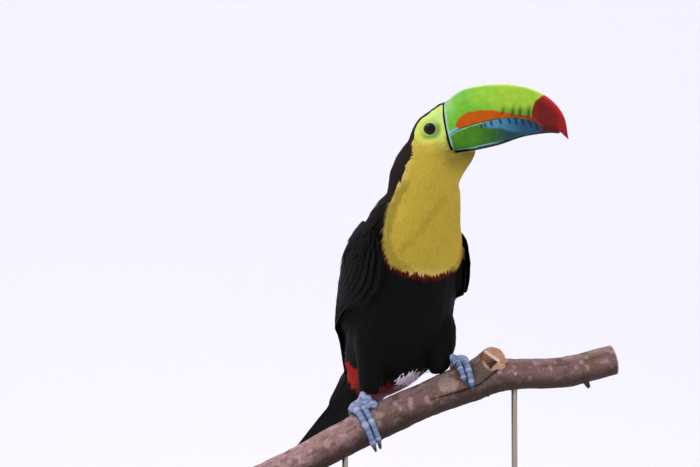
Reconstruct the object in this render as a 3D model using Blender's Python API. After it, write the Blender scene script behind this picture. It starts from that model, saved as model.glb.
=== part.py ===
"""Keel-billed toucan, life size, gripping a cut length of branch on a display stand.

Metres, +Z up. The origin is the middle of the base's underside. The breast faces between -Y
and +X, the bill points along +X and a little to -Y, and the branch climbs towards +X.
"""

import math

import bmesh
import bpy
from mathutils import Vector

GAP = 0.0004  # left between pieces that touch
UP = Vector((0, 0, 1))

# The body's spine, from the shaft of the tail to the top of the neck. A row is the place, the
# breast's yaw from -Y towards +X in degrees, the half width, and the depths to breast and back.
SPINE = (
    (-0.0905, 0.0870, 0.147, 36, 0.018, 0.011, 0.005),  # tail shaft, under the coverts
    (-0.0660, 0.0560, 0.179, 36, 0.027, 0.026, 0.011),  # tail root
    (-0.0540, 0.0400, 0.198, 36, 0.038, 0.042, 0.021),  # vent
    (-0.0410, 0.0270, 0.222, 35, 0.050, 0.055, 0.038),  # lower belly
    (-0.0325, 0.0140, 0.250, 34, 0.055, 0.056, 0.048),  # belly
    (-0.0262, 0.0010, 0.278, 33, 0.055, 0.053, 0.049),  # breast
    (-0.0210, -0.0110, 0.306, 33, 0.053, 0.048, 0.047),  # shoulders
    (-0.0150, -0.0210, 0.332, 36, 0.050, 0.045, 0.040),  # neck base
    (-0.0085, -0.0280, 0.356, 42, 0.039, 0.040, 0.035),
    (-0.0070, -0.0320, 0.378, 50, 0.035, 0.037, 0.035),  # middle of the neck
    (0.0000, -0.0350, 0.395, 58, 0.0295, 0.0360, 0.033),
    (0.0085, -0.0385, 0.411, 66, 0.0240, 0.0375, 0.027),  # throat
    (0.0150, -0.0410, 0.421, 71, 0.0170, 0.0340, 0.022),  # chin, under the bill
)
TRUNK_END, NECK_BASE, NECK_TOP = 1.7, 7.0, 12.0  # where the spine's rows part the body
ROW_GAP = 0.008  # rows left open on each side where trunk and neck meet
RING_SIDES = 24

# The head and bill share an upright middle plane through BILL_BASE, turned to HEAD_YAW.
BILL_BASE = Vector((0.0199, -0.0423, 0.426))
HEAD_YAW = math.radians(72)
HEAD_AHEAD = Vector((math.sin(HEAD_YAW), -math.cos(HEAD_YAW), 0))
HEAD_LEFT = UP.cross(HEAD_AHEAD)
FACE_TILT = math.radians(12.5)  # the bill's base leans back at its top by this
FACE_ALONG = HEAD_AHEAD * math.cos(FACE_TILT) + UP * math.sin(FACE_TILT)
FACE_ABOVE = UP * math.cos(FACE_TILT) - HEAD_AHEAD * math.sin(FACE_TILT)
BAND = 0.0022  # thickness of the black band between the face and the bill
BAND_HALF_HEIGHT, BAND_HALF_WIDTH = 0.0262, 0.0188
# Rows from the band back: distance, heights of the crown and the jaw, half width.
HEAD = (
    (0.0, 0.0258, -0.0245, 0.0182),
    (-0.0115, 0.0262, -0.0270, 0.0212),
    (-0.0202, 0.0232, -0.0285, 0.0224),
    (-0.0282, 0.0172, -0.0280, 0.0218),
    (-0.0352, 0.0090, -0.0260, 0.0190),
    (-0.0412, -0.0005, -0.0210, 0.0130),
)
EYE_RADIUS = 0.0070
EYE_BACK, EYE_HEIGHT, EYE_OUT = 0.0161, -0.0007, 0.0165  # from BILL_BASE: back, up and sideways

# The bill's edges in the middle plane: ahead of and above BILL_BASE, from base to tip.
CULMEN = (
    (-0.0059, 0.0268), (0.0066, 0.0366), (0.0271, 0.0426), (0.0536, 0.0434),
    (0.0776, 0.0392), (0.0996, 0.0275), (0.1136, 0.0100), (0.1184, -0.0130),
)
TOMIUM = (
    (0.0020, -0.0090), (0.0126, -0.0022), (0.0326, 0.0036), (0.0576, 0.0079),
    (0.0776, 0.0064), (0.0946, 0.0000), (0.1076, -0.0040), (0.1178, -0.0132),
)
GONYS = (
    (0.0050, -0.0225), (0.0126, -0.0225), (0.0286, -0.0202), (0.0486, -0.0163),
    (0.0703, -0.0098), (0.0871, -0.0072), (0.0996, -0.0064), (0.1081, -0.0072),
)
BILL_WIDTHS = (  # half widths at the cutting edge
    (0.0178,), (0.0172,), (0.0160,), (0.0142,), (0.0118,), (0.0088,), (0.0052,), (0.0006,),
)
UPPER_END, LOWER_END = 7, 6.2  # rows where each mandible ends: the lower one short of the hook
UPPER_FULLNESS, LOWER_FULLNESS = 2.4, 3.0  # powers of the sections' roundness
BLUNT_END = 0.0012  # half width at a mandible's last row, at most

# The folded wing lies on the trunk. A row is the place on the spine, the angles from the
# breast of its lower and upper edges in degrees, and its thickness.
WING = (
    (6.85, 86, 110, 0.003),  # shoulder
    (6.45, 60, 138, 0.0065),
    (5.75, 47, 149, 0.0110),  # wrist
    (4.90, 51, 154, 0.0110),
    (4.40, 72, 157, 0.0100),
    (3.70, 86, 160, 0.0092),
    (2.90, 104, 163, 0.0088),
    (2.00, 122, 166, 0.0065),
    (1.15, 138, 168, 0.0045),
    (0.45, 154, 165, 0.0030),  # tip of the primaries
)
WING_BACK = {"left": 0.0, "right": 0.12}  # share of its breadth by which the lower edge draws back
WING_GAP = 0.0009  # left between wing and trunk
WING_EDGE = 0.30  # thickness left at the long edges, as a share of the middle's

TAIL_LENGTH, TAIL_HALF_WIDTH, TAIL_THICK = 0.152, 0.024, 0.0034
TAIL_START = 0.004  # from the root of the coverts
TAIL_FEATHERS = 10
TAIL_STEP = 0.10  # how much shorter the outermost feathers are, as a share
TAIL_NOTCH = 0.028  # the dip between two feathers' ends, as a share
TAIL_ARCH = 0.0035  # how far the tail's sides droop at its end

# The branch: place and radius from its low end to its high end.
BRANCH = (
    (-0.180, -0.024, 0.0735, 0.0170),
    (-0.138, -0.019, 0.0940, 0.0165),
    (-0.095, -0.013, 0.1170, 0.0170),
    (-0.060, -0.008, 0.1350, 0.0178),
    (-0.030, -0.004, 0.1495, 0.0180),
    (0.000, 0.000, 0.1620, 0.0176),
    (0.030, 0.004, 0.1745, 0.0195),
    (0.060, 0.009, 0.1835, 0.0175),
    (0.090, 0.014, 0.1868, 0.0152),
    (0.135, 0.022, 0.1885, 0.0152),
    (0.186, 0.031, 0.2010, 0.0152),
)
STUB_START, STUB_END = Vector((0.036, 0.001, 0.181)), Vector((0.0640, -0.004, 0.2020))
STUB_RADIUS = 0.0120
STUB_CUT_NORMAL = Vector((0.52, -0.74, 0.42)).normalized()
# Toes by number: ahead or behind, place along the branch to the bird's outer side, first
# angle over the branch in degrees, and radius at the middle. Toes 2 and 3 point ahead.
TOES = {
    1: (-1, -0.0050, -12, 0.0032),
    2: (1, -0.0037, 22, 0.0037),
    3: (1, 0.0038, 22, 0.0040),
    4: (-1, 0.0065, -10, 0.0036),
}
# Per foot: the row of BRANCH under it, how far the toes slant, and where each toe ends.
FEET = {
    "right": (2.90, 2, {1: 84, 2: 142, 3: 146, 4: 108}),
    "left": (6.10, 8, {1: 74, 2: 82, 3: 97, 4: 102}),
}
JOINT_SWELL, TOE_TAPER = 0.10, 0.10  # shares of the radius: bulge at joints, loss to the end
TOE_END = 0.62  # share of the radius where the claw begins
TOE_LIFT = 1.12  # height of a toe's middle over the branch, in its radii
CLAW_LENGTH, CLAW_RADIUS, CLAW_POINT = 0.0125, 0.0024, 0.0004
CLAW_HOOK = 0.0022  # how high a claw arches over the line of its toe
SHANK_RADIUS = 0.0042
PAD_ANGLE, PAD_LIFT = math.radians(16), 0.0056  # over the branch, and above its surface
PAD_HALVES = (0.0088, 0.0052, 0.0062)  # half sizes along the branch, outward and round it
# The feathered leg from inside the flank down to the shank: place and half width.
LEGS = {
    "left": (
        (-0.006, 0.012, 0.268, 0.019), (0.004, 0.004, 0.244, 0.0215), (0.0105, 0.001, 0.222, 0.0160),
        (0.0100, 0.003, 0.207, 0.0138), (0.0080, 0.004, 0.186, 0.0090),
    ),
    "right": (
        (-0.050, -0.006, 0.248, 0.019), (-0.056, -0.013, 0.222, 0.0205), (-0.058, -0.013, 0.200, 0.0160),
        (-0.060, -0.012, 0.183, 0.0125), (-0.061, -0.011, 0.166, 0.0098),
    ),
}

BASE_HALF_LENGTH, BASE_HALF_DEPTH, BASE_THICK = 0.140, 0.100, 0.018
BASE_EDGE = (  # from the underside up: how far the edge is drawn in, and the height
    (0.003, 0.0), (0.0005, 0.0015), (0.0, 0.005), (0.0, 0.0135), (0.0016, 0.0168), (0.005, BASE_THICK),
)
ROD_RADIUS, ROD_DEPTH = 0.003, 0.009  # the rods go this deep into base and branch
ROD_ROWS = {"left": 2.27, "right": 7.84}  # rows of BRANCH over each rod

PAINTS = {  # colour, roughness, metallic
    "black_plumage": ((0.012, 0.011, 0.010), 0.60, 0),
    "yellow_plumage": ((0.72, 0.56, 0.09), 0.70, 0),
    "white_plumage": ((0.80, 0.78, 0.74), 0.75, 0),
    "red_plumage": ((0.50, 0.03, 0.01), 0.70, 0),
    "bill_green": ((0.36, 0.62, 0.06), 0.30, 0),
    "bill_blue": ((0.10, 0.34, 0.20), 0.30, 0),
    "bill_black": ((0.01, 0.01, 0.01), 0.40, 0),
    "eye": ((0.02, 0.012, 0.008), 0.08, 0),
    "foot_blue": ((0.22, 0.36, 0.56), 0.45, 0),
    "claw": ((0.04, 0.05, 0.06), 0.35, 0),
    "bark": ((0.24, 0.16, 0.13), 0.85, 0),
    "stand_wood": ((0.16, 0.08, 0.04), 0.35, 0),
    "stand_metal": ((0.45, 0.42, 0.36), 0.30, 1),
}


def paint(name):
    made = bpy.data.materials.get(name)
    if made is None:
        made = bpy.data.materials.new(name)
        made.use_nodes = True
        shader = made.node_tree.nodes["Principled BSDF"]
        colour, roughness, metallic = PAINTS[name]
        shader.inputs["Base Color"].default_value = (*colour, 1)
        shader.inputs["Roughness"].default_value = roughness
        shader.inputs["Metallic"].default_value = metallic
    return made


def between(rows, at):
    """The row at a fractional index, on a smooth curve through all the rows."""
    i = min(max(int(at), 0), len(rows) - 2)
    t = at - i
    here, following = rows[i], rows[i + 1]
    before = rows[i - 1] if i else [2 * p - q for p, q in zip(here, following)]
    after = rows[i + 2] if i + 2 < len(rows) else [2 * q - p for p, q in zip(here, following)]
    return [
        0.5 * (2 * p + (q - o) * t + (2 * o - 5 * p + 4 * q - r) * t**2 + (3 * p - o - 3 * q + r) * t**3)
        for o, p, q, r in zip(before, here, following, after)
    ]


def steps(first, last, count):
    return [first + (last - first) * i / count for i in range(count + 1)]


def round_angles(sides):
    return [2 * math.pi * i / sides for i in range(sides)]


def add_object(name, mesh, material):
    obj = bpy.data.objects.new(name, mesh)
    bpy.context.collection.objects.link(obj)
    if material:
        mesh.materials.append(paint(material))
    mesh.shade_smooth()
    mesh.set_sharp_from_angle(angle=math.radians(40))
    return obj


def loft(name, rings, material):
    """A closed solid through rings of equally many points, with a fan over each end."""
    bm = bmesh.new()
    made = [[bm.verts.new(point) for point in ring] for ring in rings]
    count = len(made[0])
    for ring, following in zip(made, made[1:]):
        for i in range(count):
            bm.faces.new((ring[i], ring[(i + 1) % count], following[(i + 1) % count], following[i]))
    for end in (made[0], made[-1]):
        middle = bm.verts.new(sum((v.co for v in end), Vector()) / count)
        for i in range(count):
            bm.faces.new((end[i], end[(i + 1) % count], middle))
    bmesh.ops.recalc_face_normals(bm, faces=bm.faces)
    mesh = bpy.data.meshes.new(name)
    bm.to_mesh(mesh)
    bm.free()
    return add_object(name, mesh, material)


def cut(obj, tool, operation="DIFFERENCE"):
    """Cuts obj with tool, or joins tool to it, and keeps tool as a hidden helper."""
    modifier = obj.modifiers.new(tool.name, "BOOLEAN")
    modifier.operation = operation
    modifier.solver = "EXACT"
    modifier.object = tool
    tool.hide_render = True
    tool.display_type = "WIRE"


# ---- body ----


def body_frame(at):
    """Centre, breast direction, left direction, half width, breast depth and back depth."""
    row = between(SPINE, at)
    ahead, behind = (Vector(between(SPINE, at + d)[:3]) for d in (0.01, -0.01))
    axis = (ahead - behind).normalized()
    yaw = math.radians(row[3])
    breast = Vector((math.sin(yaw), -math.cos(yaw), 0))
    breast = (breast - axis * breast.dot(axis)).normalized()
    return Vector(row[:3]), breast, axis.cross(breast), row[4], row[5], row[6]


def body_point(frame, angle, out=0.0):
    """Angle 0 is the middle of the breast, 90 degrees the bird's left side."""
    centre, breast, left, width, front, back = frame
    ahead, side = math.cos(angle), math.sin(angle)
    depth = front if ahead > 0 else back
    outward = (breast * (ahead / depth) + left * (side / width)).normalized()
    return centre + breast * (depth * ahead) + left * (width * side) + outward * out


def body_loft(name, first, last, rings, material, out=0.0):
    """A length of the body between two rows of the spine, grown by out."""
    frames = [body_frame(at) for at in steps(first, last, rings)]
    angles = round_angles(RING_SIDES)
    return loft(name, [[body_point(f, a, out) for a in angles] for f in frames], material)


def half_coverts(name, side, material):
    """Feathers over the tail's root: side 1 lies under the tail and -1 above it."""
    rings = []
    inner = TAIL_THICK / 2 + GAP
    for at in steps(0.0, TRUNK_END - 0.02, 8):
        centre, breast, left, width, front, back = body_frame(at)
        depth = front if side > 0 else back
        ring = []
        for angle in steps(-math.pi / 2, math.pi / 2, 12):
            reach = max(depth * math.cos(angle), inner + 0.0006)
            ring.append(centre + left * (width * math.sin(angle)) + breast * (side * reach))
        ring.append(centre + left * width + breast * (side * inner))
        ring.append(centre - left * width + breast * (side * inner))
        rings.append(ring)
    return loft(name, rings, material)


def tail_frame(along):
    """Centre, belly side and left of the tail at a distance from its root."""
    shaft, root = (Vector(row[:3]) for row in SPINE[:2])
    coverts = (shaft - root).length
    frame = body_frame(max(1 - along / coverts, 0))
    beyond = max(along - coverts, 0)
    return frame[0] + (shaft - root).normalized() * beyond, frame[1], frame[2]


def tail():
    """Ten feathers side by side, the middle ones longest, each with a round end."""
    across = steps(-1, 1, 2 * TAIL_FEATHERS)
    rings = []
    for share in steps(0.0, 1.0, 7):
        upper, lower = [], []
        for i, side in enumerate(across):
            notch = 0 if i % 2 else TAIL_NOTCH
            length = TAIL_LENGTH * (1 - TAIL_STEP * side**2)
            along = TAIL_START + share * length * (1 - notch * share**6)
            centre, belly, left = tail_frame(along)
            half = TAIL_HALF_WIDTH * (0.72 + 0.38 * share - 0.06 * share**4)
            thick = TAIL_THICK * (1 - 0.55 * share) * (1 - 0.45 * side**2)
            droop = TAIL_ARCH * side**2 * share
            middle = centre + left * (half * side) + belly * droop
            upper.append(middle - belly * (thick / 2))
            lower.append(middle + belly * (thick / 2))
        rings.append(upper + lower[::-1])
    return loft("tail", rings, "black_plumage")


def wing(side_name, side):
    """A shell on the trunk, thick at the wrist, with thin edges. Side 1 is the bird's left."""
    rings = []
    for index in steps(0, len(WING) - 1, 18):
        at, lower_edge, upper_edge, thick = between(WING, index)
        lower_edge += WING_BACK[side_name] * (upper_edge - lower_edge)
        frame = body_frame(at)
        angles = [side * math.radians(a) for a in steps(lower_edge, upper_edge, 8)]
        shares = steps(-1, 1, 8)
        outer = [
            body_point(frame, a, WING_GAP + thick * (1 - (1 - WING_EDGE) * s**6))
            for a, s in zip(angles, shares)
        ]
        inner = [body_point(frame, a, WING_GAP) for a in angles]
        rings.append(outer + inner[::-1])
    return loft(f"wing_{side_name}", rings, "black_plumage")


# ---- head and bill ----


def face_ring(distance, height, depth, half_width):
    """An upright section of the face at a distance ahead of the bill's base."""
    centre = BILL_BASE + FACE_ALONG * distance + FACE_ABOVE * height
    return [
        centre + FACE_ABOVE * (depth * math.cos(a)) + HEAD_LEFT * (half_width * math.sin(a))
        for a in round_angles(RING_SIDES)
    ]


def head_loft(name, material, out=0.0):
    rings = []
    for index in steps(0, len(HEAD) - 1, 10):
        distance, crown, jaw, width = between(HEAD, index)
        place = distance - BAND - 2 * GAP + out * (index == 0)
        rings.append(face_ring(place, (crown + jaw) / 2, (crown - jaw) / 2 + out, width + out))
    return loft(name, rings, material)


def mandible_ring(edge, ridge, width, fullness, back, grow):
    """A section from the cutting edge to the ridge, wide at the edge and round at the ridge."""
    edge, ridge = Vector(edge), Vector(ridge)
    rise = (ridge - edge).normalized()
    edge, ridge = edge + rise * (GAP - grow), ridge + rise * grow

    def bill_point(place, side):
        return BILL_BASE + HEAD_AHEAD * (place[0] - back) + UP * place[1] + HEAD_LEFT * side

    half = []
    for share in (0, 0.18, 0.4, 0.62, 0.82, 0.95):
        half.append((edge.lerp(ridge, share), (width + grow) * (1 - share**fullness) ** 0.5))
    left = [bill_point(place, side) for place, side in half]
    right = [bill_point(place, -side) for place, side in reversed(half)]
    return left + [bill_point(ridge, 0)] + right


def mandible(name, ridge_rows, fullness, last, material, grow=0.0):
    """Half a bill: the upper one runs through all rows, the lower one to a fractional row."""
    rings = []
    for index in [i / 2 for i in range(math.ceil(2 * last))] + [last]:
        edge = between(TOMIUM, index)
        ridge = between(ridge_rows, index * (len(ridge_rows) - 1) / last)
        width = between(BILL_WIDTHS, index)[0]
        if index == last:
            width = min(width, BLUNT_END)
        rings.append(mandible_ring(edge, ridge, width, fullness, grow * (index == 0), grow))
    return loft(name, rings, material)


def bill_band(name, material, out=0.0):
    """The thin black band round the bill's base."""
    height, width = BAND_HALF_HEIGHT + out, BAND_HALF_WIDTH + out
    rings = [face_ring(-back, 0, height, width) for back in (GAP - out, GAP + BAND + out)]
    return loft(name, rings, material)


def ball(name, centre, halves, axes, material):
    """An ellipsoid with half sizes along three axes."""
    bm = bmesh.new()
    bmesh.ops.create_uvsphere(bm, u_segments=12, v_segments=6, radius=1)
    for vert in bm.verts:
        vert.co = centre + sum((a * (h * c) for a, h, c in zip(axes, halves, vert.co)), Vector())
    bmesh.ops.recalc_face_normals(bm, faces=bm.faces)
    mesh = bpy.data.meshes.new(name)
    bm.to_mesh(mesh)
    bm.free()
    return add_object(name, mesh, material)


def eyeball(name, side, material, out=0.0):
    centre = eye_centre(side)
    return ball(name, centre, [EYE_RADIUS + out] * 3, (HEAD_AHEAD, UP, HEAD_LEFT), material)


def eye_centre(side):
    return BILL_BASE - HEAD_AHEAD * EYE_BACK + UP * EYE_HEIGHT + HEAD_LEFT * (side * EYE_OUT)


# ---- branch ----


def branch_frame(at):
    """Centre, axis, upward normal, outward normal on the breast's side, and radius."""
    row = between(BRANCH, at)
    ahead, behind = (Vector(between(BRANCH, at + d)[:3]) for d in (0.05, -0.05))
    axis = (ahead - behind).normalized()
    above = (UP - axis * UP.dot(axis)).normalized()
    return Vector(row[:3]), axis, above, axis.cross(above), row[3]


def tube(name, frames, sides, material):
    """A round bar through (centre, normal, other normal, radius) frames."""
    rings = []
    for centre, first, second, radius in frames:
        rings.append([
            centre + (first * math.cos(a) + second * math.sin(a)) * radius
            for a in round_angles(sides)
        ])
    return loft(name, rings, material)


def branch(name, material, out=0.0):
    frames = []
    for at in steps(0, len(BRANCH) - 1, 18):
        centre, _, above, ahead, radius = branch_frame(at)
        frames.append((centre, above, ahead, radius + out))
    return tube(name, frames, 16, material)


def perch():
    made = branch("perch", "bark")
    axis = (STUB_END - STUB_START).normalized()
    side = axis.cross(UP).normalized()
    above = side.cross(axis)
    # The stub's end is cut slantwise, so each point runs on along the axis to the cut plane.
    rings = []
    for share in (0.0, 0.5, 1.0):
        ring = []
        for a in round_angles(12):
            out = above * math.cos(a) + side * math.sin(a)
            point = STUB_START.lerp(STUB_END, share) + out * STUB_RADIUS
            if share == 1.0:
                slant = (STUB_END - point).dot(STUB_CUT_NORMAL) / axis.dot(STUB_CUT_NORMAL)
                point = point + axis * slant
            ring.append(point)
        rings.append(ring)
    stub = loft("stub_of_side_branch", rings, "bark")
    cut(made, stub, "UNION")
    return made


# ---- legs ----


def foot_frame(row, slant):
    """The branch's frame with its axis turned a little, so that the toes cross it aslant."""
    centre, axis, above, front, radius = branch_frame(row)
    turned = axis * math.cos(slant) - above * math.sin(slant)
    return centre, turned, above * math.cos(slant) + axis * math.sin(slant), front, radius


def toe_place(frame, ahead, offset, angle, clearance):
    """A point over the branch: angle 0 is on top, and it goes round to the front or back."""
    centre, axis, above, front, radius = frame
    out = above * math.cos(angle) + front * (ahead * math.sin(angle))
    return centre + axis * offset + out * (radius + clearance), out


def toe(name, frame, ahead, offset, first, last, radius):
    """A tube round the branch with a swelling at each joint."""
    frames = []
    for share in steps(0, 1, 7):
        angle = math.radians(first + (last - first) * share)
        swell = 1 + JOINT_SWELL * math.cos(share * 6 * math.pi) - TOE_TAPER * share
        if share == 1.0:
            swell = TOE_END
        splay = offset * (0.55 + 0.45 * min(share * 2.5, 1))
        place, out = toe_place(frame, ahead, splay, angle, radius * TOE_LIFT + 2 * GAP)
        frames.append((place, out, frame[1], radius * swell))
    return tube(name, frames, 7, "foot_blue")


def claw(name, frame, ahead, offset, last, radius):
    """A horn that leaves the toe's end and hooks in towards the branch."""
    frames = []
    start = math.radians(last) + GAP / frame[4]
    for share in steps(0, 1, 4):
        angle = start + share * CLAW_LENGTH / (frame[4] + 0.004)
        lift = radius * TOE_LIFT + 2 * GAP + CLAW_HOOK * math.sin(share * math.pi)
        place, out = toe_place(frame, ahead, offset, angle, lift)
        frames.append((place, out, frame[1], CLAW_RADIUS * (1 - share) ** 0.8 + CLAW_POINT))
    return tube(name, frames, 6, "claw")


def foot(side_name, side):
    """Two toes ahead and two behind, a ball where they meet and the short bare shank."""
    row, slant, toe_ends = FEET[side_name]
    frame = foot_frame(row, math.radians(slant))
    pad_place, out = toe_place(frame, 1, 0, PAD_ANGLE, PAD_LIFT)
    axes = (frame[1], out, frame[1].cross(out))
    made = ball(f"foot_{side_name}", pad_place, PAD_HALVES, axes, "foot_blue")
    for number, (ahead, offset, first, radius) in TOES.items():
        last = toe_ends[number]
        # The branch's axis runs to the bird's left, so a foot's outer side is that of its sign.
        part = toe(f"toe_{side_name}_{number}", frame, ahead, side * offset, first, last, radius)
        cut(made, part, "UNION")
        claw(f"claw_{side_name}_{number}", frame, ahead, side * offset, last, radius)
    ankle = Vector(LEGS[side_name][-2][:3])
    shank_axis = (ankle - pad_place).normalized()
    across = shank_axis.cross(Vector((0, 1, 0))).normalized()
    other = across.cross(shank_axis)
    frames = [(pad_place.lerp(ankle, s), across, other, SHANK_RADIUS) for s in (0, 0.5, 1)]
    cut(made, tube(f"shank_{side_name}", frames, 8, "foot_blue"), "UNION")
    return made


def leg(name, side_name, material, out=0.0):
    rings = []
    for index in steps(0, len(LEGS[side_name]) - 1, 10):
        x, y, z, width = between(LEGS[side_name], index)
        rings.append([
            Vector((x + math.cos(a) * (width + out), y + math.sin(a) * (width + out), z))
            for a in round_angles(16)
        ])
    return loft(name, rings, material)


# ---- stand ----


def stand_base():
    """A thin oval board with its edges rounded over."""
    rings = []
    for inset, height in BASE_EDGE:
        length, depth = BASE_HALF_LENGTH - inset, BASE_HALF_DEPTH - inset
        rings.append([
            Vector((length * math.cos(a), depth * math.sin(a), height)) for a in round_angles(28)
        ])
    return loft("stand_base", rings, "stand_wood")


def upright(name, x, y, bottom, top, radius, material):
    east, north = Vector((1, 0, 0)), Vector((0, 1, 0))
    frames = [(Vector((x, y, z)), east, north, radius) for z in (bottom, top)]
    return tube(name, frames, 12, material)


# ---- the whole ----


def build_body():
    body_loft("trunk", TRUNK_END, NECK_BASE - ROW_GAP, 14, "black_plumage")
    neck = body_loft("neck", NECK_BASE + ROW_GAP, NECK_TOP, 10, "yellow_plumage")
    half_coverts("rump", -1, "white_plumage")
    half_coverts("undertail_coverts", 1, "red_plumage")
    tail()
    head = head_loft("head", "yellow_plumage")
    cut(neck, head_loft("neck_cutter_head", None, GAP))
    cut(neck, mandible("neck_cutter_lower_bill", GONYS, LOWER_FULLNESS, LOWER_END, None, GAP))
    cut(neck, mandible("neck_cutter_upper_bill", CULMEN, UPPER_FULLNESS, UPPER_END, None, GAP))
    cut(neck, bill_band("neck_cutter_band", None, GAP))
    bill_band("bill_band", "bill_black")
    mandible("bill_upper", CULMEN, UPPER_FULLNESS, UPPER_END, "bill_green")
    mandible("bill_lower", GONYS, LOWER_FULLNESS, LOWER_END, "bill_blue")
    for side_name, side in (("left", 1), ("right", -1)):
        wing(side_name, side)
        eyeball(f"eye_{side_name}", side, "eye")
        cut(head, eyeball(f"socket_{side_name}", side, None, GAP))


def build_legs():
    trunk_cutter = body_loft("thigh_cutter", TRUNK_END - 0.3, NECK_BASE, 16, None, GAP)
    coverts_cutter = body_loft("coverts_cutter", 0.0, TRUNK_END + 0.1, 8, None, GAP)
    branch_cutter = branch("branch_cutter", None, 2 * GAP)
    for side_name, side in (("left", 1), ("right", -1)):
        made = foot(side_name, side)
        thigh = leg(f"thigh_{side_name}", side_name, "black_plumage")
        for tool in (trunk_cutter, coverts_cutter, branch_cutter):
            cut(thigh, tool)
        cut(made, leg(f"{side_name}_foot_cutter", side_name, None, GAP))


def build_stand():
    wood = perch()
    base = stand_base()
    for side_name, row in ROD_ROWS.items():
        centre, _, _, _, radius = branch_frame(row)
        top = centre.z - radius + ROD_DEPTH
        bottom = BASE_THICK - ROD_DEPTH
        x, y = centre.x, centre.y
        upright(f"stand_rod_{side_name}", x, y, bottom, top, ROD_RADIUS, "stand_metal")
        name = f"rod_hole_{side_name}"
        hole = upright(name, x, y, bottom - GAP, top + GAP, ROD_RADIUS + GAP, None)
        cut(wood, hole)
        cut(base, hole)


def build():
    for obj in list(bpy.data.objects):
        bpy.data.objects.remove(obj)
    build_body()
    build_legs()
    build_stand()


build()
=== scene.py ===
"""Keel-billed toucan, life size, on its perch and stand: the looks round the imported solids.

Metres, +Z up, in the solids' frame. A place on the body is a row of SPINE and an angle round it,
0 at the middle of the breast and 90 degrees at the bird's left. The head and the bill share an
upright middle plane, measured ahead of and above BILL_BASE.
"""

import bpy
import numpy as np
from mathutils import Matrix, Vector
from mathutils.bvhtree import BVHTree
from mathutils.kdtree import KDTree


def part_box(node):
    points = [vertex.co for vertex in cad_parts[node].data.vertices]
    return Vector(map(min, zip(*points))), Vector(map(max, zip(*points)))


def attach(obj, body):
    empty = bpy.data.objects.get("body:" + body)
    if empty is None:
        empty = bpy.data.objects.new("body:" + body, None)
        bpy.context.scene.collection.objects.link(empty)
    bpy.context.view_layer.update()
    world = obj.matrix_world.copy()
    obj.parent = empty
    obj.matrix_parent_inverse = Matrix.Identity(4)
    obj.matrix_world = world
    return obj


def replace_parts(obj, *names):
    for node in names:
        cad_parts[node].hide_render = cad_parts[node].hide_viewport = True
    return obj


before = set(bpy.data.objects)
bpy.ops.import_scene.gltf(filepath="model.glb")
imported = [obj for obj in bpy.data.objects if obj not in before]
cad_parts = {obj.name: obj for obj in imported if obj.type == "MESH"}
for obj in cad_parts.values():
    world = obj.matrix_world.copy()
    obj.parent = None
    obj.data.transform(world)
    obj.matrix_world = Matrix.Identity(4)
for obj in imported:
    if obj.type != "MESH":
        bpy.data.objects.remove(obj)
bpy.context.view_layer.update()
rng = np.random.default_rng(11)

# ---- arithmetic ----

HASH_PRIMES, HASH_SPREAD = np.array((73856093, 19349663, 83492791)), 2654435761


def unit(v):
    return v / np.maximum(np.linalg.norm(v, axis=-1, keepdims=True), 1e-12)


def dot(a, b):
    return np.sum(a * b, axis=-1, keepdims=True)


def pick(keep, *arrays):
    """What keep chooses from each of some arrays."""
    return tuple(a[keep] for a in arrays)


def step(low, high, x):
    """0 below low, 1 above high, and smooth between them."""
    t = np.clip((x - low) / (high - low), 0, 1)
    return t * t * (3 - 2 * t)


def span(x, start, full, ebb, end):
    """1 from full to ebb, and 0 before start and after end."""
    return step(start, full, x) * step(end, ebb, x)


def mix(a, b, share):
    return a + (b - a) * share


def painted(colour, *layers):
    """A colour or one for each point, with others laid over in turn, each by a share for each point."""
    for new, share in layers:
        colour = mix(colour, np.asarray(new), np.clip(share, 0, 1)[..., None])
    return colour


def plain(colour, count):
    return np.tile(colour, (count, 1))


def srgb(red, green, blue):
    """A linear colour from 8-bit screen values."""
    c = np.array((red, green, blue)) / 255
    return np.where(c <= 0.04045, c / 12.92, ((c + 0.055) / 1.055) ** 2.4)


def between(rows, at):
    """Rows at fractional indices, on a smooth curve through all the rows."""
    padded = np.vstack([2 * rows[0] - rows[1], rows, 2 * rows[-1] - rows[-2]])
    at = np.asarray(at, float)
    i = np.clip(np.floor(at).astype(int), 0, len(rows) - 2)
    t = (at - i)[..., None]
    o, p, q, r = (padded[i + k] for k in range(4))
    return 0.5 * (2 * p + (q - o) * t + (2 * o - 5 * p + 4 * q - r) * t**2 + (3 * p - o - 3 * q + r) * t**3)


def noise(points, size, seed=0):
    """Smooth noise from -1 to 1 whose features are about size across."""
    p = np.asarray(points) / size + seed * 17.31
    cell = np.floor(p).astype(np.int64)
    f = p - cell
    f = f * f * (3 - 2 * f)
    total = np.zeros(p.shape[:-1])
    for corner in np.ndindex(2, 2, 2):
        mixed = np.bitwise_xor.reduce((cell + np.array(corner)) * HASH_PRIMES, axis=-1)
        value = ((mixed * HASH_SPREAD) & 0xFFFFFF) / 0x7FFFFF - 1
        total += value * np.prod(np.where(corner, f, 1 - f), axis=-1)
    return total


def cloud(points, size, seed):
    """Smooth noise from 0 to 1."""
    return 0.5 + 0.5 * noise(points, size, seed)


def hump(x, y, middle, radius):
    """1 at a place in a plane and next to nothing beyond twice the radius."""
    return np.exp(-((x - middle[0]) ** 2 + (y - middle[1]) ** 2) / radius**2)


def far_from_line(points, line):
    """Distances in a plane from a line through some places."""
    least = np.full(len(points), 1.0)
    for start, end in zip(line[:-1], line[1:]):
        way = end - start
        share = np.clip((points - start) @ way / (way @ way), 0, 1)
        least = np.minimum(least, np.linalg.norm(points - start - share[:, None] * way, axis=1))
    return least


def turns(sides):
    return np.linspace(0, 2 * np.pi, sides, endpoint=False)


def cos_sin(degrees):
    """Cosine and sine with one more axis, to multiply vectors by."""
    return np.cos(np.radians(degrees))[..., None], np.sin(np.radians(degrees))[..., None]


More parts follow.
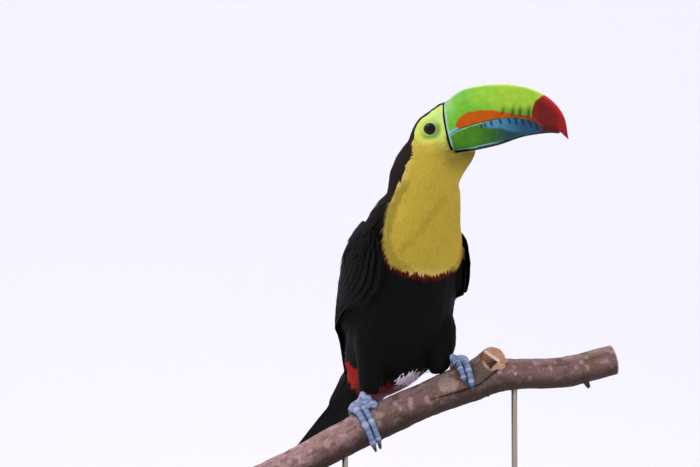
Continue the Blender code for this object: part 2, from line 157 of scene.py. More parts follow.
# ---- measures shared with the solids ----

UP = np.array((0.0, 0.0, 1.0))
SPINE = np.array((  # place, yaw of the breast, half width, depth to breast and to back
    (-0.0905, 0.0870, 0.147, 36, 0.018, 0.011, 0.005),
    (-0.0660, 0.0560, 0.179, 36, 0.027, 0.026, 0.011),
    (-0.0540, 0.0400, 0.198, 36, 0.038, 0.042, 0.021),
    (-0.0410, 0.0270, 0.222, 35, 0.050, 0.055, 0.038),
    (-0.0325, 0.0140, 0.250, 34, 0.055, 0.056, 0.048),
    (-0.0262, 0.0010, 0.278, 33, 0.055, 0.053, 0.049),
    (-0.0210, -0.0110, 0.306, 33, 0.053, 0.048, 0.047),
    (-0.0150, -0.0210, 0.332, 36, 0.050, 0.045, 0.040),
    (-0.0085, -0.0280, 0.356, 42, 0.039, 0.040, 0.035),
    (-0.0070, -0.0320, 0.378, 50, 0.035, 0.037, 0.035),
    (0.0000, -0.0350, 0.395, 58, 0.0295, 0.0360, 0.033),
    (0.0085, -0.0385, 0.411, 66, 0.0240, 0.0375, 0.027),
    (0.0150, -0.0410, 0.421, 71, 0.0170, 0.0340, 0.022),
))
BILL_BASE = np.array((0.0199, -0.0423, 0.426))
HEAD_YAW = np.radians(72)
HEAD_AHEAD = np.array((np.sin(HEAD_YAW), -np.cos(HEAD_YAW), 0.0))
HEAD_LEFT = np.cross(UP, HEAD_AHEAD)
EYE_RADIUS = 0.0070
EYE_BACK, EYE_HEIGHT, EYE_OUT = 0.0161, -0.0007, 0.0165
# The bill's ridge, the upper half's cutting edge and the lower half's keel: ahead and up.
CULMEN = np.array((
    (-0.0059, 0.0268), (0.0066, 0.0366), (0.0271, 0.0426), (0.0536, 0.0434),
    (0.0776, 0.0392), (0.0996, 0.0275), (0.1136, 0.0100), (0.1184, -0.0130),
))
TOMIUM = np.array((
    (0.0020, -0.0090), (0.0126, -0.0022), (0.0326, 0.0036), (0.0576, 0.0079),
    (0.0776, 0.0064), (0.0946, 0.0000), (0.1076, -0.0040), (0.1178, -0.0132),
))
GONYS = np.array((
    (0.0050, -0.0225), (0.0126, -0.0225), (0.0286, -0.0202), (0.0486, -0.0163),
    (0.0703, -0.0098), (0.0871, -0.0072), (0.0996, -0.0064), (0.1081, -0.0072),
))
BILL_WIDTHS = np.array((0.0178, 0.0172, 0.0160, 0.0142, 0.0118, 0.0088, 0.0052, 0.0006))[:, None]
WING = np.array((  # row of SPINE, lower and upper angle, thickness
    (6.85, 86, 110, 0.003), (6.45, 60, 138, 0.0065), (5.75, 47, 149, 0.0110),
    (4.90, 51, 154, 0.0110), (4.40, 72, 157, 0.0100), (3.70, 86, 160, 0.0092),
    (2.90, 104, 163, 0.0088), (2.00, 122, 166, 0.0065), (1.15, 138, 168, 0.0045),
    (0.45, 154, 165, 0.0030),
))
WING_BACK = {1: 0.0, -1: 0.12}  # share of its width by which a wing's lower edge lies higher
TAIL_LENGTH, TAIL_HALF_WIDTH = 0.152, 0.024
BRANCH = np.array((  # place and radius
    (-0.180, -0.024, 0.0735, 0.0170), (-0.138, -0.019, 0.0940, 0.0165),
    (-0.095, -0.013, 0.1170, 0.0170), (-0.060, -0.008, 0.1350, 0.0178),
    (-0.030, -0.004, 0.1495, 0.0180), (0.000, 0.000, 0.1620, 0.0176),
    (0.030, 0.004, 0.1745, 0.0195), (0.060, 0.009, 0.1835, 0.0175),
    (0.090, 0.014, 0.1868, 0.0152), (0.135, 0.022, 0.1885, 0.0152),
    (0.186, 0.031, 0.2010, 0.0152),
))
STUB_START, STUB_END = np.array((0.036, 0.001, 0.181)), np.array((0.0640, -0.004, 0.2020))
STUB_RADIUS = 0.0120
STUB_CUT = unit(np.array((0.52, -0.74, 0.42)))
# A toe: forward or back, its place across the foot, the angle of its root and its radius.
TOES = {1: (-1, -0.0050, -12, 0.0032), 2: (1, -0.0037, 22, 0.0037),
        3: (1, 0.0038, 22, 0.0040), 4: (-1, 0.0065, -10, 0.0036)}
# A foot: its row of BRANCH, its slant and the angle of each toe's end.
FEET = {-1: (2.90, 2, {1: 84, 2: 142, 3: 146, 4: 108}),
        1: (6.10, 8, {1: 74, 2: 82, 3: 97, 4: 102})}
PAD_ANGLE, PAD_LIFT, PAD_HALVES = np.radians(16), 0.0056, (0.0088, 0.0052, 0.0062)
LEGS = {  # place and radius, from the thigh down
    1: np.array((
        (-0.006, 0.012, 0.268, 0.019), (0.004, 0.004, 0.244, 0.0215), (0.0105, 0.001, 0.222, 0.0160),
        (0.0100, 0.003, 0.207, 0.0138), (0.0080, 0.004, 0.186, 0.0090),
    )),
    -1: np.array((
        (-0.050, -0.006, 0.248, 0.019), (-0.056, -0.013, 0.222, 0.0205), (-0.058, -0.013, 0.200, 0.0160),
        (-0.060, -0.012, 0.183, 0.0125), (-0.061, -0.011, 0.166, 0.0098),
    )),
}
SIDES = {1: "left", -1: "right"}

# ---- meshes ----


def make_piece(name, points, polygons, material, slot=None, tint=None, uv=None, sharp=None):
    """A mesh from points and arrays of polygons, with a colour and a place on the map per point.

    With a slot it is attached to the object's root; without one it stands alone.
    """
    mesh = bpy.data.meshes.new(name)
    loops = np.concatenate([p.ravel() for p in polygons]).astype(np.int32)
    sizes = np.concatenate([np.full(len(p), p.shape[1]) for p in polygons])
    starts = np.concatenate([[0], np.cumsum(sizes)[:-1]]).astype(np.int32)
    mesh.vertices.add(len(points))
    mesh.vertices.foreach_set("co", np.asarray(points, np.float32).ravel())
    mesh.loops.add(len(loops))
    mesh.loops.foreach_set("vertex_index", loops)
    mesh.polygons.add(len(sizes))
    mesh.polygons.foreach_set("loop_start", starts)
    mesh.update(calc_edges=True)
    if tint is not None:
        layer = mesh.color_attributes.new("tint", "FLOAT_COLOR", "POINT")
        opaque = np.column_stack([tint, np.ones(len(tint))])
        layer.data.foreach_set("color", opaque.astype(np.float32).ravel())
    if uv is not None:
        layer = mesh.uv_layers.new(name="OFBake")
        layer.data.foreach_set("uv", uv[loops].astype(np.float32).ravel())
    mesh.shade_smooth()
    if sharp:
        mesh.set_sharp_from_angle(angle=np.radians(sharp))
    made = bpy.data.objects.new(name, mesh)
    bpy.context.scene.collection.objects.link(made)
    mesh.materials.append(MATERIALS[material])
    if slot:
        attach(made, "root")
    return made


def tube_polygons(bars, rings, sides, first=0):
    """Quads and end caps of bars, each with so many rings of so many points, one after another."""
    corner = np.arange(bars)[:, None, None] * rings * sides + first
    ring = np.arange(rings - 1)[None, :, None] * sides
    side = np.arange(sides)[None, None, :]
    here, beside = corner + ring + side, corner + ring + (side + 1) % sides
    quads = np.stack([here, beside, beside + sides, here + sides], axis=-1).reshape(-1, 4)
    start = corner[:, 0] + np.arange(sides)[::-1]
    end = corner[:, 0] + (rings - 1) * sides + np.arange(sides)
    return [quads, start.reshape(-1, sides), end.reshape(-1, sides)]


def rings_part(points, flip=False):
    """Rings of points and their polygons, turned inside out where flip says so."""
    polygons = tube_polygons(1, *points.shape[:2])
    return points.reshape(-1, 3), [f[:, ::-1] for f in polygons] if flip else polygons


def join(parts):
    """Point arrays and polygon lists put together as one."""
    points, polygons, first = [], [], 0
    for some, faces in parts:
        points.append(some)
        polygons += [f + first for f in faces]
        first += len(some)
    return np.vstack(points), polygons


def make_tinted(name, parts, material, slot):
    """One piece from parts that each have points, polygons and colours."""
    *solids, tints = zip(*parts)
    return make_piece(name, *join(zip(*solids)), material, slot, np.vstack(tints))


def read(items, key, width, kind=float):
    """A property of a mesh's points, corners or triangles, as rows of so many numbers."""
    values = np.empty(len(items) * width, kind)
    items.foreach_get(key, values)
    return values.reshape(-1, width)


def largest_island(count, faces):
    """Which of the points belong to the largest connected part of four-sided faces."""
    label, before = np.arange(count), None
    while before is None or (label != before).any():
        before = label.copy()
        np.minimum.at(label, faces.ravel(), np.repeat(before[faces].min(axis=1), 4))
        label = label[label]
    return label == np.bincount(label).argmax()


def one_surface(parts, voxel, relax=0):
    """Solids melted into one surface: its points, the directions outward and four-sided faces."""
    rough = make_piece("rough", *join(parts), "skin")
    remesh = rough.modifiers.new("one_surface", "REMESH")
    remesh.mode, remesh.voxel_size = "VOXEL", voxel
    if relax:
        smooth = rough.modifiers.new("relax", "SMOOTH")
        smooth.factor, smooth.iterations = 0.5, relax
    mesh = bpy.data.meshes.new_from_object(rough.evaluated_get(bpy.context.evaluated_depsgraph_get()))
    bpy.data.objects.remove(rough)
    points, normals = read(mesh.vertices, "co", 3), read(mesh.vertices, "normal", 3)
    faces = read(mesh.loops, "vertex_index", 1, int).reshape(-1, 4)
    bpy.data.meshes.remove(mesh)
    kept = largest_island(len(points), faces)
    faces = (np.cumsum(kept) - 1)[faces[kept[faces[:, 0]]]]
    return points[kept], normals[kept], faces


# ---- materials ----


def new_material(name, roughness, colour=None, **sockets):
    """A shader whose colour is the points' tint, or one colour, with its plain sockets set."""
    made = bpy.data.materials.new(name)
    made.use_nodes = True
    shader = made.node_tree.nodes["Principled BSDF"]
    shader.inputs["Roughness"].default_value = roughness
    for socket, value in sockets.items():
        shader.inputs[socket.replace("_", " ")].default_value = value
    if colour is None:
        layer = made.node_tree.nodes.new("ShaderNodeAttribute")
        layer.attribute_name = "tint"
        made.node_tree.links.new(layer.outputs["Color"], shader.inputs["Base Color"])
    else:
        shader.inputs["Base Color"].default_value = (*colour, 1)
    return made


def add_node(material, kind, **settings):
    made = material.node_tree.nodes.new(kind)
    for key, value in settings.items():
        if key in made.inputs:
            made.inputs[key].default_value = value
        else:
            setattr(made, key, value)
    return made


def set_range(node, *limits):
    for key, value in zip(("From Min", "From Max", "To Min", "To Max"), limits):
        node.inputs[key].default_value = value


def noise_node(material, scale, detail, stretch):
    """Noise in the solids' own space, drawn out along an axis where stretch is under 1."""
    links = material.node_tree.links
    place = add_node(material, "ShaderNodeTexCoord")
    mapping = add_node(material, "ShaderNodeMapping", Scale=stretch)
    links.new(place.outputs["Object"], mapping.inputs["Vector"])
    made = add_node(material, "ShaderNodeTexNoise", Scale=scale, Detail=detail)
    links.new(mapping.outputs["Vector"], made.inputs["Vector"])
    return made


def mottle(material, scale, low, high, detail=4, stretch=(1, 1, 1)):
    """Multiplies the colour by noise between low and high."""
    links = material.node_tree.links
    wave = noise_node(material, scale, detail, stretch)
    spread = add_node(material, "ShaderNodeMapRange")
    set_range(spread, 0.3, 0.7, low, high)
    links.new(wave.outputs["Fac"], spread.inputs["Value"])
    product = add_node(material, "ShaderNodeMix", data_type="RGBA", blend_type="MULTIPLY")
    product.inputs["Factor"].default_value = 1
    colour = material.node_tree.nodes["Principled BSDF"].inputs["Base Color"]
    if colour.is_linked:
        links.new(colour.links[0].from_socket, product.inputs["A"])
    else:
        product.inputs["A"].default_value = colour.default_value
    links.new(spread.outputs["Result"], product.inputs["B"])
    links.new(product.outputs["Result"], colour)


def roughen(material, scale, depth, detail=5, stretch=(1, 1, 1)):
    """Bump from noise, depth in metres."""
    links = material.node_tree.links
    wave = noise_node(material, scale, detail, stretch)
    bump = add_node(material, "ShaderNodeBump", Strength=1.0, Distance=depth)
    links.new(wave.outputs["Fac"], bump.inputs["Height"])
    links.new(bump.outputs["Normal"], material.node_tree.nodes["Principled BSDF"].inputs["Normal"])


def make_materials():
    made = {
        "plumage": new_material("plumage_mat", 0.80, Sheen_Weight=0.06, Specular_IOR_Level=0.12),
        "black": new_material("black_plumage_mat", 0.60, Specular_IOR_Level=0.07),
        "skin": new_material("skin_mat", 0.60, Specular_IOR_Level=0.15),
        "bill": new_material("bill_mat", 0.38, Specular_IOR_Level=0.11),
        "eye": new_material("eye_mat", 0.05, Specular_IOR_Level=0.16),
        "foot": new_material("foot_mat", 0.40, Specular_IOR_Level=0.40),
        "claw": new_material("claw_mat", 0.30),
        "bark": new_material("bark_mat", 0.85, Specular_IOR_Level=0.25),
        "wood": new_material("stand_wood_mat", 0.32, srgb(84, 50, 30), Coat_Weight=0.3, Coat_Roughness=0.2),
        "metal": new_material("stand_metal_mat", 0.28, srgb(176, 168, 152), Metallic=1.0),
        "floor": new_material("floor_mat", 0.9, srgb(240, 239, 248)),
    }
    for name, *how in (
        ("plumage", 900, 0.90, 1.08, 3, (1, 1, 0.3)),
        ("black", 700, 0.75, 1.25, 3, (1, 1, 0.25)),
        ("skin", 1600, 0.92, 1.06, 3),
        ("bill", 160, 0.90, 1.10, 6),
        ("foot", 1200, 0.80, 1.15, 4),
        ("claw", 900, 0.8, 1.2),
        ("bark", 520, 0.72, 1.22, 8),
        ("wood", 60, 0.55, 1.35, 8, (0.12, 1, 1)),
        ("metal", 500, 0.92, 1.05, 3, (1, 1, 0.05)),
    ):
        mottle(made[name], *how)
    for name, *how in (
        ("skin", 1300, 0.00025), ("bill", 420, 0.00012, 6), ("foot", 1800, 0.0003),
        ("bark", 420, 0.0022, 8), ("wood", 300, 0.0002, 6, (0.08, 1, 1)),
    ):
        roughen(made[name], *how)
    return made


MATERIALS = make_materials()

# ---- places on the body ----

CAST = 0.025  # how far outside the body's outline rays to the skin start
BASE_LEAN = 0.222  # how far the bill's base leans back for each metre up


def sampled(rows):
    """A curve's points, close together, for reading heights off it."""
    curve = between(rows, np.linspace(0, len(rows) - 1, 400))
    return curve[:, 0], curve[:, 1]


CULMEN_LINE, TOMIUM_LINE, GONYS_LINE = sampled(CULMEN), sampled(TOMIUM), sampled(GONYS)


def body_frame(row):
    """Centre, axis towards the head, breast, left, and the three half sizes."""
    here = between(SPINE, row)
    axis = unit(between(SPINE, row + 0.01)[..., :3] - between(SPINE, row - 0.01)[..., :3])
    yaw = np.radians(here[..., 3])
    breast = np.stack([np.sin(yaw), -np.cos(yaw), 0 * yaw], axis=-1)
    breast = unit(breast - axis * dot(breast, axis))
    return here[..., :3], axis, breast, np.cross(axis, breast), here[..., 4:7]


def body_point(row, angle, out=0.0):
    """A point of the body's outline, and the direction outward there. The angle is in degrees."""
    centre, _, breast, left, halves = body_frame(row)
    ahead, aside = cos_sin(angle)
    width = halves[..., :1]
    depth = np.where(ahead > 0, halves[..., 1:2], halves[..., 2:3])
    outward = unit(breast * (ahead / depth) + left * (aside / width))
    reach = np.asarray(out)[..., None]
    return centre + breast * (depth * ahead) + left * (width * aside) + outward * reach, outward


def tucked(row, angle):
    """1 where the left wing's lower corner lies drawn in against the body."""
    return span(row, 3.4, 3.9, 4.84, 5.08) * span(angle, 38, 44, 88, 98)


def wing_shape(side, index):
    """Row, lower and upper angle and thickness of a folded wing, from shoulder to tip."""
    row, low, high, thick = np.moveaxis(between(WING, index), -1, 0)
    return row, low + WING_BACK[side] * (high - low), high, thick


def wing_rise(thick, share):
    """Height over the body's outline at a share of the way from the lower to the upper edge."""
    return 0.0009 + thick * (1 - 0.70 * np.clip(2 * share - 1, -1, 1) ** 6)


def wing_point(side, index, share, out):
    """A place on a folded wing: index from shoulder to tip, share from lower to upper edge."""
    row, low, high, thick = wing_shape(side, index)
    angle = side * (low + (high - low) * share)
    return body_point(row, angle, mix(wing_rise(thick, share), -0.0012, tucked(row, angle)) + out)


def head_plane(points):
    """Distances ahead of, above and to the left of the bill's base."""
    rel = points - BILL_BASE
    return rel @ HEAD_AHEAD, rel @ UP, rel @ HEAD_LEFT


def head_way(ahead, up, left):
    """The same three distances as a vector in the solids' frame."""
    ahead, up, left = (np.asarray(way)[..., None] for way in (ahead, up, left))
    return ahead * HEAD_AHEAD + up * UP + left * HEAD_LEFT


def eye_centre(side):
    return BILL_BASE - HEAD_AHEAD * EYE_BACK + UP * EYE_HEIGHT + HEAD_LEFT * (side * EYE_OUT)


def leg_distance(points):
    """How far a point lies outside the nearer leg's feathers."""
    least = np.full(len(points), 1.0)
    for rows in LEGS.values():
        for here in between(rows, np.linspace(0, 4, 25)):
            flat = np.linalg.norm(points[:, :2] - here[:2], axis=1) - here[3]
            least = np.minimum(least, np.hypot(np.maximum(flat, 0), points[:, 2] - here[2]))
    return least


def make_chart():
    """A tree of places all over the body's outline, with their rows and angles."""
    rows, angles = (a.ravel() for a in np.meshgrid(np.arange(0, 12.4, 0.06), np.arange(-180, 180, 4)))
    tree = KDTree(len(rows))
    for i, point in enumerate(body_point(rows, angles)[0]):
        tree.insert(point, i)
    tree.balance()
    return tree, rows, angles


CHART = make_chart()


def chart(points):
    """Row and angle of the body's outline nearest to each point."""
    tree, rows, angles = CHART
    return pick(np.array([tree.find(p)[1] for p in points]), rows, angles)


# ---- markings ----

INK = srgb(10, 10, 9)
NAPE = srgb(34, 26, 21)
RED = srgb(158, 28, 12)
WINE = srgb(88, 14, 9)
SNOW = srgb(222, 220, 216)
FLUFF = srgb(238, 226, 236)
PINK = srgb(170, 110, 118)
YELLOW = srgb(192, 168, 58)
PALE_YELLOW = srgb(222, 208, 120)
# Olive tone that varies at random over the bib, and also painted shade along its crease.
OLIVE_TONE_AND_CREASE_SHADE = srgb(168, 140, 44)
# Painted shade: a deeper golden yellow for the side of the bib that is turned from the light.
GOLD = srgb(205, 160, 44)
# Painted shade: dark olive laid on the throat under the bill, where the bill's shadow falls.
SHADE_UNDER_BILL = srgb(104, 88, 34)
LEMON = srgb(214, 204, 84)
LIME = srgb(212, 234, 116)
AMBER_LIME = srgb(206, 208, 78)
# Painted highlight: a pale mint patch on the bare skin above and ahead of each eye.
MINT_HIGHLIGHT = srgb(178, 226, 142)
# The bare skin's own green round the eyes, laid on more thickly below and ahead of them as painted shade.
GREEN = srgb(104, 160, 48)
EYE_GAP = 0.006  # nothing closer than this to the head's middle plane belongs to an eye's ring
RING_HALVES, RING_AHEAD, RING_UP = (0.0132, 0.0112), 0.0012, 0.0010  # of the bare oval round an eye
DIAGONAL = 0.7071

# The bib: half its spread in degrees by row, and the angle of its middle.
BIB_ROWS = (5.86, 5.89, 5.94, 6.02, 6.12, 6.26, 6.45, 6.80, 7.20, 7.60, 8.10, 8.75, 8.90, 9.70, 10.4, 12.4)
BIB_HALF = (0, 17, 27, 37, 47, 56, 64, 71, 77, 85, 97, 97, 89, 95, 106, 112)
BIB_LOWER = 9  # so many of those rows make up its lower edge
BIB_MIDDLE_ROWS, BIB_MIDDLE = (5.95, 6.40), (-9, 0)
BIB_ROW_LENGTH = 0.028  # metres to a row of SPINE
# A faint crease across the bib, painted darker as shade, seen from the front: across and up.
CREASE = np.array(((0.012, 0.357), (0.002, 0.345), (-0.014, 0.322), (-0.032, 0.303)))
# The black cap's edge on the side of the head: height and distance ahead of the bill's base.
CAP_UP = (-0.0295, -0.0169, -0.0069, 0.0044, 0.0094, 0.0154, 0.0214, 0.0253)
CAP_AHEAD = (-0.0384, -0.0358, -0.0338, -0.0306, -0.0267, -0.0189, -0.0112, -0.0035)
# The red under the tail: half its spread in degrees by row.
RED_ROWS = (0.0, 0.75, 0.95, 1.2, 1.6, 1.95, 2.3)
RED_HALF = (15, 22, 50, 72, 92, 98, 30)


def bib_depth(points, row, angle):
    """Metres inside the yellow's edge, under 0 outside it."""
    middle = np.interp(row, BIB_MIDDLE_ROWS, BIB_MIDDLE)
    away = np.abs((angle - middle + 180) % 360 - 180)
    radius = np.interp(row, (5, 7, 9, 12), (0.052, 0.046, 0.036, 0.026))
    aside = np.radians(np.interp(row, BIB_ROWS, BIB_HALF) - away) * radius
    above = (row - np.interp(away, BIB_HALF[:BIB_LOWER], BIB_ROWS[:BIB_LOWER])) * BIB_ROW_LENGTH
    aside = np.where(row < BIB_ROWS[0], -1.0, aside)
    above = np.where(away > BIB_HALF[BIB_LOWER - 1], np.sign(aside), above)
    slanting = np.sign(above) * np.abs(aside * above) / np.maximum(np.hypot(aside, above), 1e-6)
    body = np.where(aside * above > 0, slanting, np.minimum(aside, above))
    ahead, up, left = head_plane(points)
    head = ahead - np.interp(up, CAP_UP, CAP_AHEAD)
    crown = np.abs(left) - np.interp(up, (0.006, 0.014, 0.024), (0.0, 0.0060, 0.0042))
    head = np.minimum(head, np.where(up > 0.008, crown, 1))
    return mix(body, head, step(0.398, 0.412, points[:, 2]))


def bare_skin(points):
    """Over 1 in the bare ring round an eye, falling to 0 outside it."""
    ahead, up, left = head_plane(points)
    forward, above = ahead + EYE_BACK - RING_AHEAD, up - EYE_HEIGHT - RING_UP
    along, across = (forward + above) * DIAGONAL, (above - forward) * DIAGONAL
    reach = np.hypot(along / RING_HALVES[0], across / RING_HALVES[1])
    lore = np.minimum(np.minimum(forward + 0.004, above + 0.005) / 0.006, (np.abs(left) - 0.0062) / 0.004)
    return np.where(np.abs(left) > EYE_GAP, np.maximum(1.45 - reach, np.minimum(lore, 1)), -1)


def bib_colour(points, row, angle, edge):
    """The yellow of the bib and the face and the green round the eyes, with painted shade under the bill,
    along a crease, on the bib's left side and below each eye, and a painted highlight above each eye.
    """
    ahead, up, left = head_plane(points)
    height, beside = points[:, 2], np.abs(left) > EYE_GAP
    forward, above = ahead + EYE_BACK, up - EYE_HEIGHT
    reach = np.maximum(np.hypot(forward, above), 0.001)
    below = mix(0.3, 1, step(-0.55, 0.5, (0.55 * forward - 0.83 * above) / reach)) * beside
    crease = far_from_line(points[:, [0, 2]], CREASE) + 0.001 * noise(points, 0.006, 4)
    face = step(-0.034, -0.012, up + 0.3 * ahead) * step(0.004, -0.010, ahead + 0.4 * up)
    return painted(
        mix(YELLOW, OLIVE_TONE_AND_CREASE_SHADE, cloud(points, 0.022, 5)[:, None] * 0.35),
        # painted shade on the bib's left side
        (GOLD, 0.55 * step(15, 45, angle) * step(9.5, 6, row)),
        # painted shade along the crease
        (OLIVE_TONE_AND_CREASE_SHADE, 0.5 * step(0.0055, 0.001, crease) * (np.abs(angle) < 95)),
        # painted shade on the throat under the bill
        (SHADE_UNDER_BILL, 0.85 * step(0.372, 0.404, height) * step(-0.016, 0.004, ahead + 0.3 * left)),
        (PALE_YELLOW, 0.35 * step(0.008, 0.001, edge) * step(11, 9, row)),
        (LEMON, face * step(0.385, 0.400, height)),
        (LIME, step(-0.021, -0.008, up + 0.2 * ahead) * (height > 0.40) * 0.95),
        (AMBER_LIME, 0.6 * step(-0.004, -0.011, forward) * step(0.019, 0.012, reach)),
        # painted highlight above and ahead of the eye
        (MINT_HIGHLIGHT, hump(forward, above, (0.004, 0.010), 0.0050) * beside * 0.75),
        # the eye's green ring, with painted shade below and ahead of the eye
        (GREEN, span(reach, 0.0060, 0.0072, 0.0080, 0.0125) * below * 0.9),
    )


def markings(points, legs=None):
    """The plumage's and skin's colour at each point."""
    row, angle = chart(points)
    edge = bib_depth(points, row, angle) + 0.0010 * noise(points, 0.004, 3)
    colour = painted(
        INK,
        (NAPE, step(6.5, 8.5, row) * (points[:, 2] < 0.44) * 0.8),
        (WINE, step(-0.0052, -0.0036, edge) * step(6.75, 6.35, row) * (row > 4.6) * 0.95),
    )
    colour = np.where(edge[:, None] > 0, bib_colour(points, row, angle, edge), colour)
    ragged = row + 0.12 * noise(points, 0.006, 8)
    off_leg = leg_distance(points) >= 0.0062 if legs is None else np.full(len(points), not legs)
    fluff = (ragged > 2.15) & (ragged < 2.75) & (angle > -5) & (angle < 45)
    colour = np.where((fluff & off_leg)[:, None], FLUFF, colour)
    under = (np.abs(angle) < np.interp(ragged, RED_ROWS, RED_HALF)) & (ragged < 2.3)
    dim = step(-62, -45, angle)[:, None]
    colour = np.where((under & off_leg)[:, None], RED * (1 - 0.62 * dim), colour)
    above = step(108, 122, np.abs(angle)) * span(ragged, 0.45, 0.60, 1.78, 2.02)
    return painted(colour, (SNOW, above * off_leg))


# ---- the skin ----

FLESH = ("trunk", "neck", "head", "wing_left", "wing_right", "rump", "undertail_coverts",
         "thigh_left", "thigh_right")
# Half the width of the bill's base by height, and the crown's rise towards the bill.
BASE_UP = (-0.048, -0.036, -0.0265, -0.0225, -0.0150, -0.009, 0.0, 0.006, 0.012, 0.018, 0.023, 0.028)
BASE_HALF = (0.060, 0.0260, 0.0130, 0.0105, 0.0148, 0.0178, 0.0175, 0.0166, 0.0149, 0.0123, 0.0085, 0.0040)
CROWN_AHEAD = (-0.034, -0.028, -0.022, -0.016, -0.0098, -0.0060)
CROWN_RISE = (-0.0003, -0.0016, -0.0016, 0.0003, 0.0036, 0.0050)
# An eyelid's rings: distance outside the lid's rim, and height over the eyeball or the face.
LID_RINGS = ((0.0, -0.0008), (0.0, 0.0001), (0.0004, 0.0004), (0.0009, 0.0006), (0.0014, 0.0005),
             (0.0020, 0.0002), (0.0026, 0.0003), (0.0034, 0.0002), (0.0044, 0.0000))
LID_COLOURS = srgb(24, 26, 20), srgb(50, 60, 38), srgb(104, 124, 78), srgb(160, 184, 128)
LID_RIM, LID_FOOT = 0.0056, 0.0112
SKIN_VOXEL, SKIN_RELAX = 0.0013, 10
UNDER_WING = 0.0022  # how far under the body's outline the skin lies where the wing is tucked in


def coat_depth(points):
    """How far the skin lies under the outline of the feathers' tips."""
    heights, depths = (0.15, 0.20, 0.32, 0.37, 0.40, 0.45), (1.6, 2.2, 2.2, 1.4, 1.0, 0.8)
    depth = np.interp(points[:, 2], heights, depths) / 1000
    return mix(depth, 0.0002, step(-0.15, 0.15, bare_skin(points)))


def drawn_in(points):
    """The flesh shaped to the bill: as narrow as its base, under its lower edge and up to its top."""
    ahead, up, left = head_plane(points)
    base = ahead + BASE_LEAN * up
    limit = np.interp(up, BASE_UP, BASE_HALF)
    narrow = np.sign(left) * np.minimum(np.abs(left), limit)
    lip, over_chin = step(-0.0062, -0.0030, base), step(-0.015, -0.011, up)
    brim = lip * step(-0.0060, -0.0035, np.abs(left) - limit) * over_chin
    narrow = mix(narrow, np.sign(left) * limit, brim)
    under = np.interp(ahead, *GONYS_LINE) - 0.0012 * step(0.022, 0.012, ahead)
    rise = 0.0075 * hump(ahead, up, (0.0220, -0.0240), 0.0090)
    lower = (np.minimum(up + rise, under) - up) * (step(0.0, 0.003, base) * (up < -0.012))
    crown = np.interp(ahead, CROWN_AHEAD, CROWN_RISE) * step(0.004, 0.020, up)
    forward = hump(ahead, up, (0.0215, -0.0275), 0.0065) * 0.0042 + 0.0017 * lip * over_chin
    return points + head_way(forward, lower + crown, (narrow - left) * step(-0.017, -0.003, base))


def lids(side, surface):
    """The ring of wrinkled lid from the eyeball out to the bare skin."""
    turn = np.radians(np.arange(0, 360, 3.0))
    sides = len(turn)
    circle = head_way(np.cos(turn), np.sin(turn), 0 * turn)
    outward, centre = HEAD_LEFT * side, eye_centre(side)

    def cast(flat):
        """How far outside the eye's centre the face lies over some places."""
        hits = [surface.ray_cast(Vector(p + outward * 0.02), Vector(-outward), 0.05)[0] for p in flat]
        return np.array([p if h is None else h for h, p in zip(hits, flat)]) @ outward - centre @ outward

    def bowl(radius):
        x, y = np.cos(turn) * radius, np.sin(turn) * radius
        return np.column_stack([x * 0 + 1, x, y, x * x, y * y, x * y])

    around = (0.0095, 0.0110, 0.0125)
    heights = np.concatenate([cast(centre + circle * radius) for radius in around])
    fit = np.linalg.lstsq(np.vstack([bowl(radius) for radius in around]), heights, rcond=None)[0]
    rim = LID_RIM * (1 - 0.04 * np.abs(np.sin(turn)) ** 3)
    rings = []
    for away, lift in LID_RINGS:
        radius = rim + away
        eyeball = np.sqrt(EYE_RADIUS**2 - np.minimum(radius, 0.0061) ** 2)
        height = mix(eyeball, bowl(radius) @ fit, step(0.0, 0.0030, away)) + lift
        height = height + 0.00010 * np.sin(turn * 26 + away * 4000) * (0.0005 < away < 0.003)
        rings.append(centre + circle * radius[:, None] + np.outer(height, outward))
    last = centre + circle * LID_FOOT
    points = np.vstack([*rings, last + np.outer(cast(last) - 0.0006, outward)])
    faces = tube_polygons(1, len(rings) + 1, sides)[0][:, ::-side]
    inner = np.repeat(LID_COLOURS, sides, axis=0)
    return points, [faces], np.vstack([inner, markings(points[len(inner):])])


def make_skin():
    """The flesh as one surface under the feathers, with the eyelids; gives a tree for casting rays."""
    parts = []
    for name in FLESH:
        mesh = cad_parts[name].data
        mesh.calc_loop_triangles()
        parts.append((read(mesh.vertices, "co", 3), [read(mesh.loop_triangles, "vertices", 3, int)]))
    points, normals, faces = one_surface(parts, SKIN_VOXEL, SKIN_RELAX)
    points = drawn_in(points - normals * coat_depth(points)[:, None])
    row, angle = chart(points)
    base, outward = body_point(row, angle)
    proud = np.maximum(dot(points - base, outward) + UNDER_WING, 0)
    points = points - outward * proud * tucked(row, angle)[:, None]
    surface = BVHTree.FromPolygons(points.tolist(), faces.tolist())
    flesh = points, [faces], markings(points)
    made = make_tinted("skin", [flesh, *(lids(side, surface) for side in SIDES)], "skin", "black_plumage")
    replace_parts(made, *FLESH)
    return surface


SKIN = make_skin()


def snap(points):
    """Nearest places on the skin, and the directions outward there."""
    found = [SKIN.find_nearest(Vector(p)) for p in points]
    return np.array([f[0] for f in found]), np.array([f[1] for f in found])


def strike(points, directions, reach):
    """Where rays meet the skin: places, directions outward, and which rays met it."""
    found = [SKIN.ray_cast(Vector(p), Vector(d), reach) for p, d in zip(points, directions)]
    met = np.array([f[0] is not None for f in found])
    hits = [f for f in found if f[0] is not None]
    return np.array([f[0] for f in hits]), np.array([f[1] for f in hits]), met


# ---- feathers ----

VANE = np.array(((-1, 0), (0, 1), (1, 0)))  # a small feather's section: across and up
SHAFTED = np.array(((-1, 0), (-0.12, 0.55), (0, 1), (0.12, 0.55), (1, 0)))
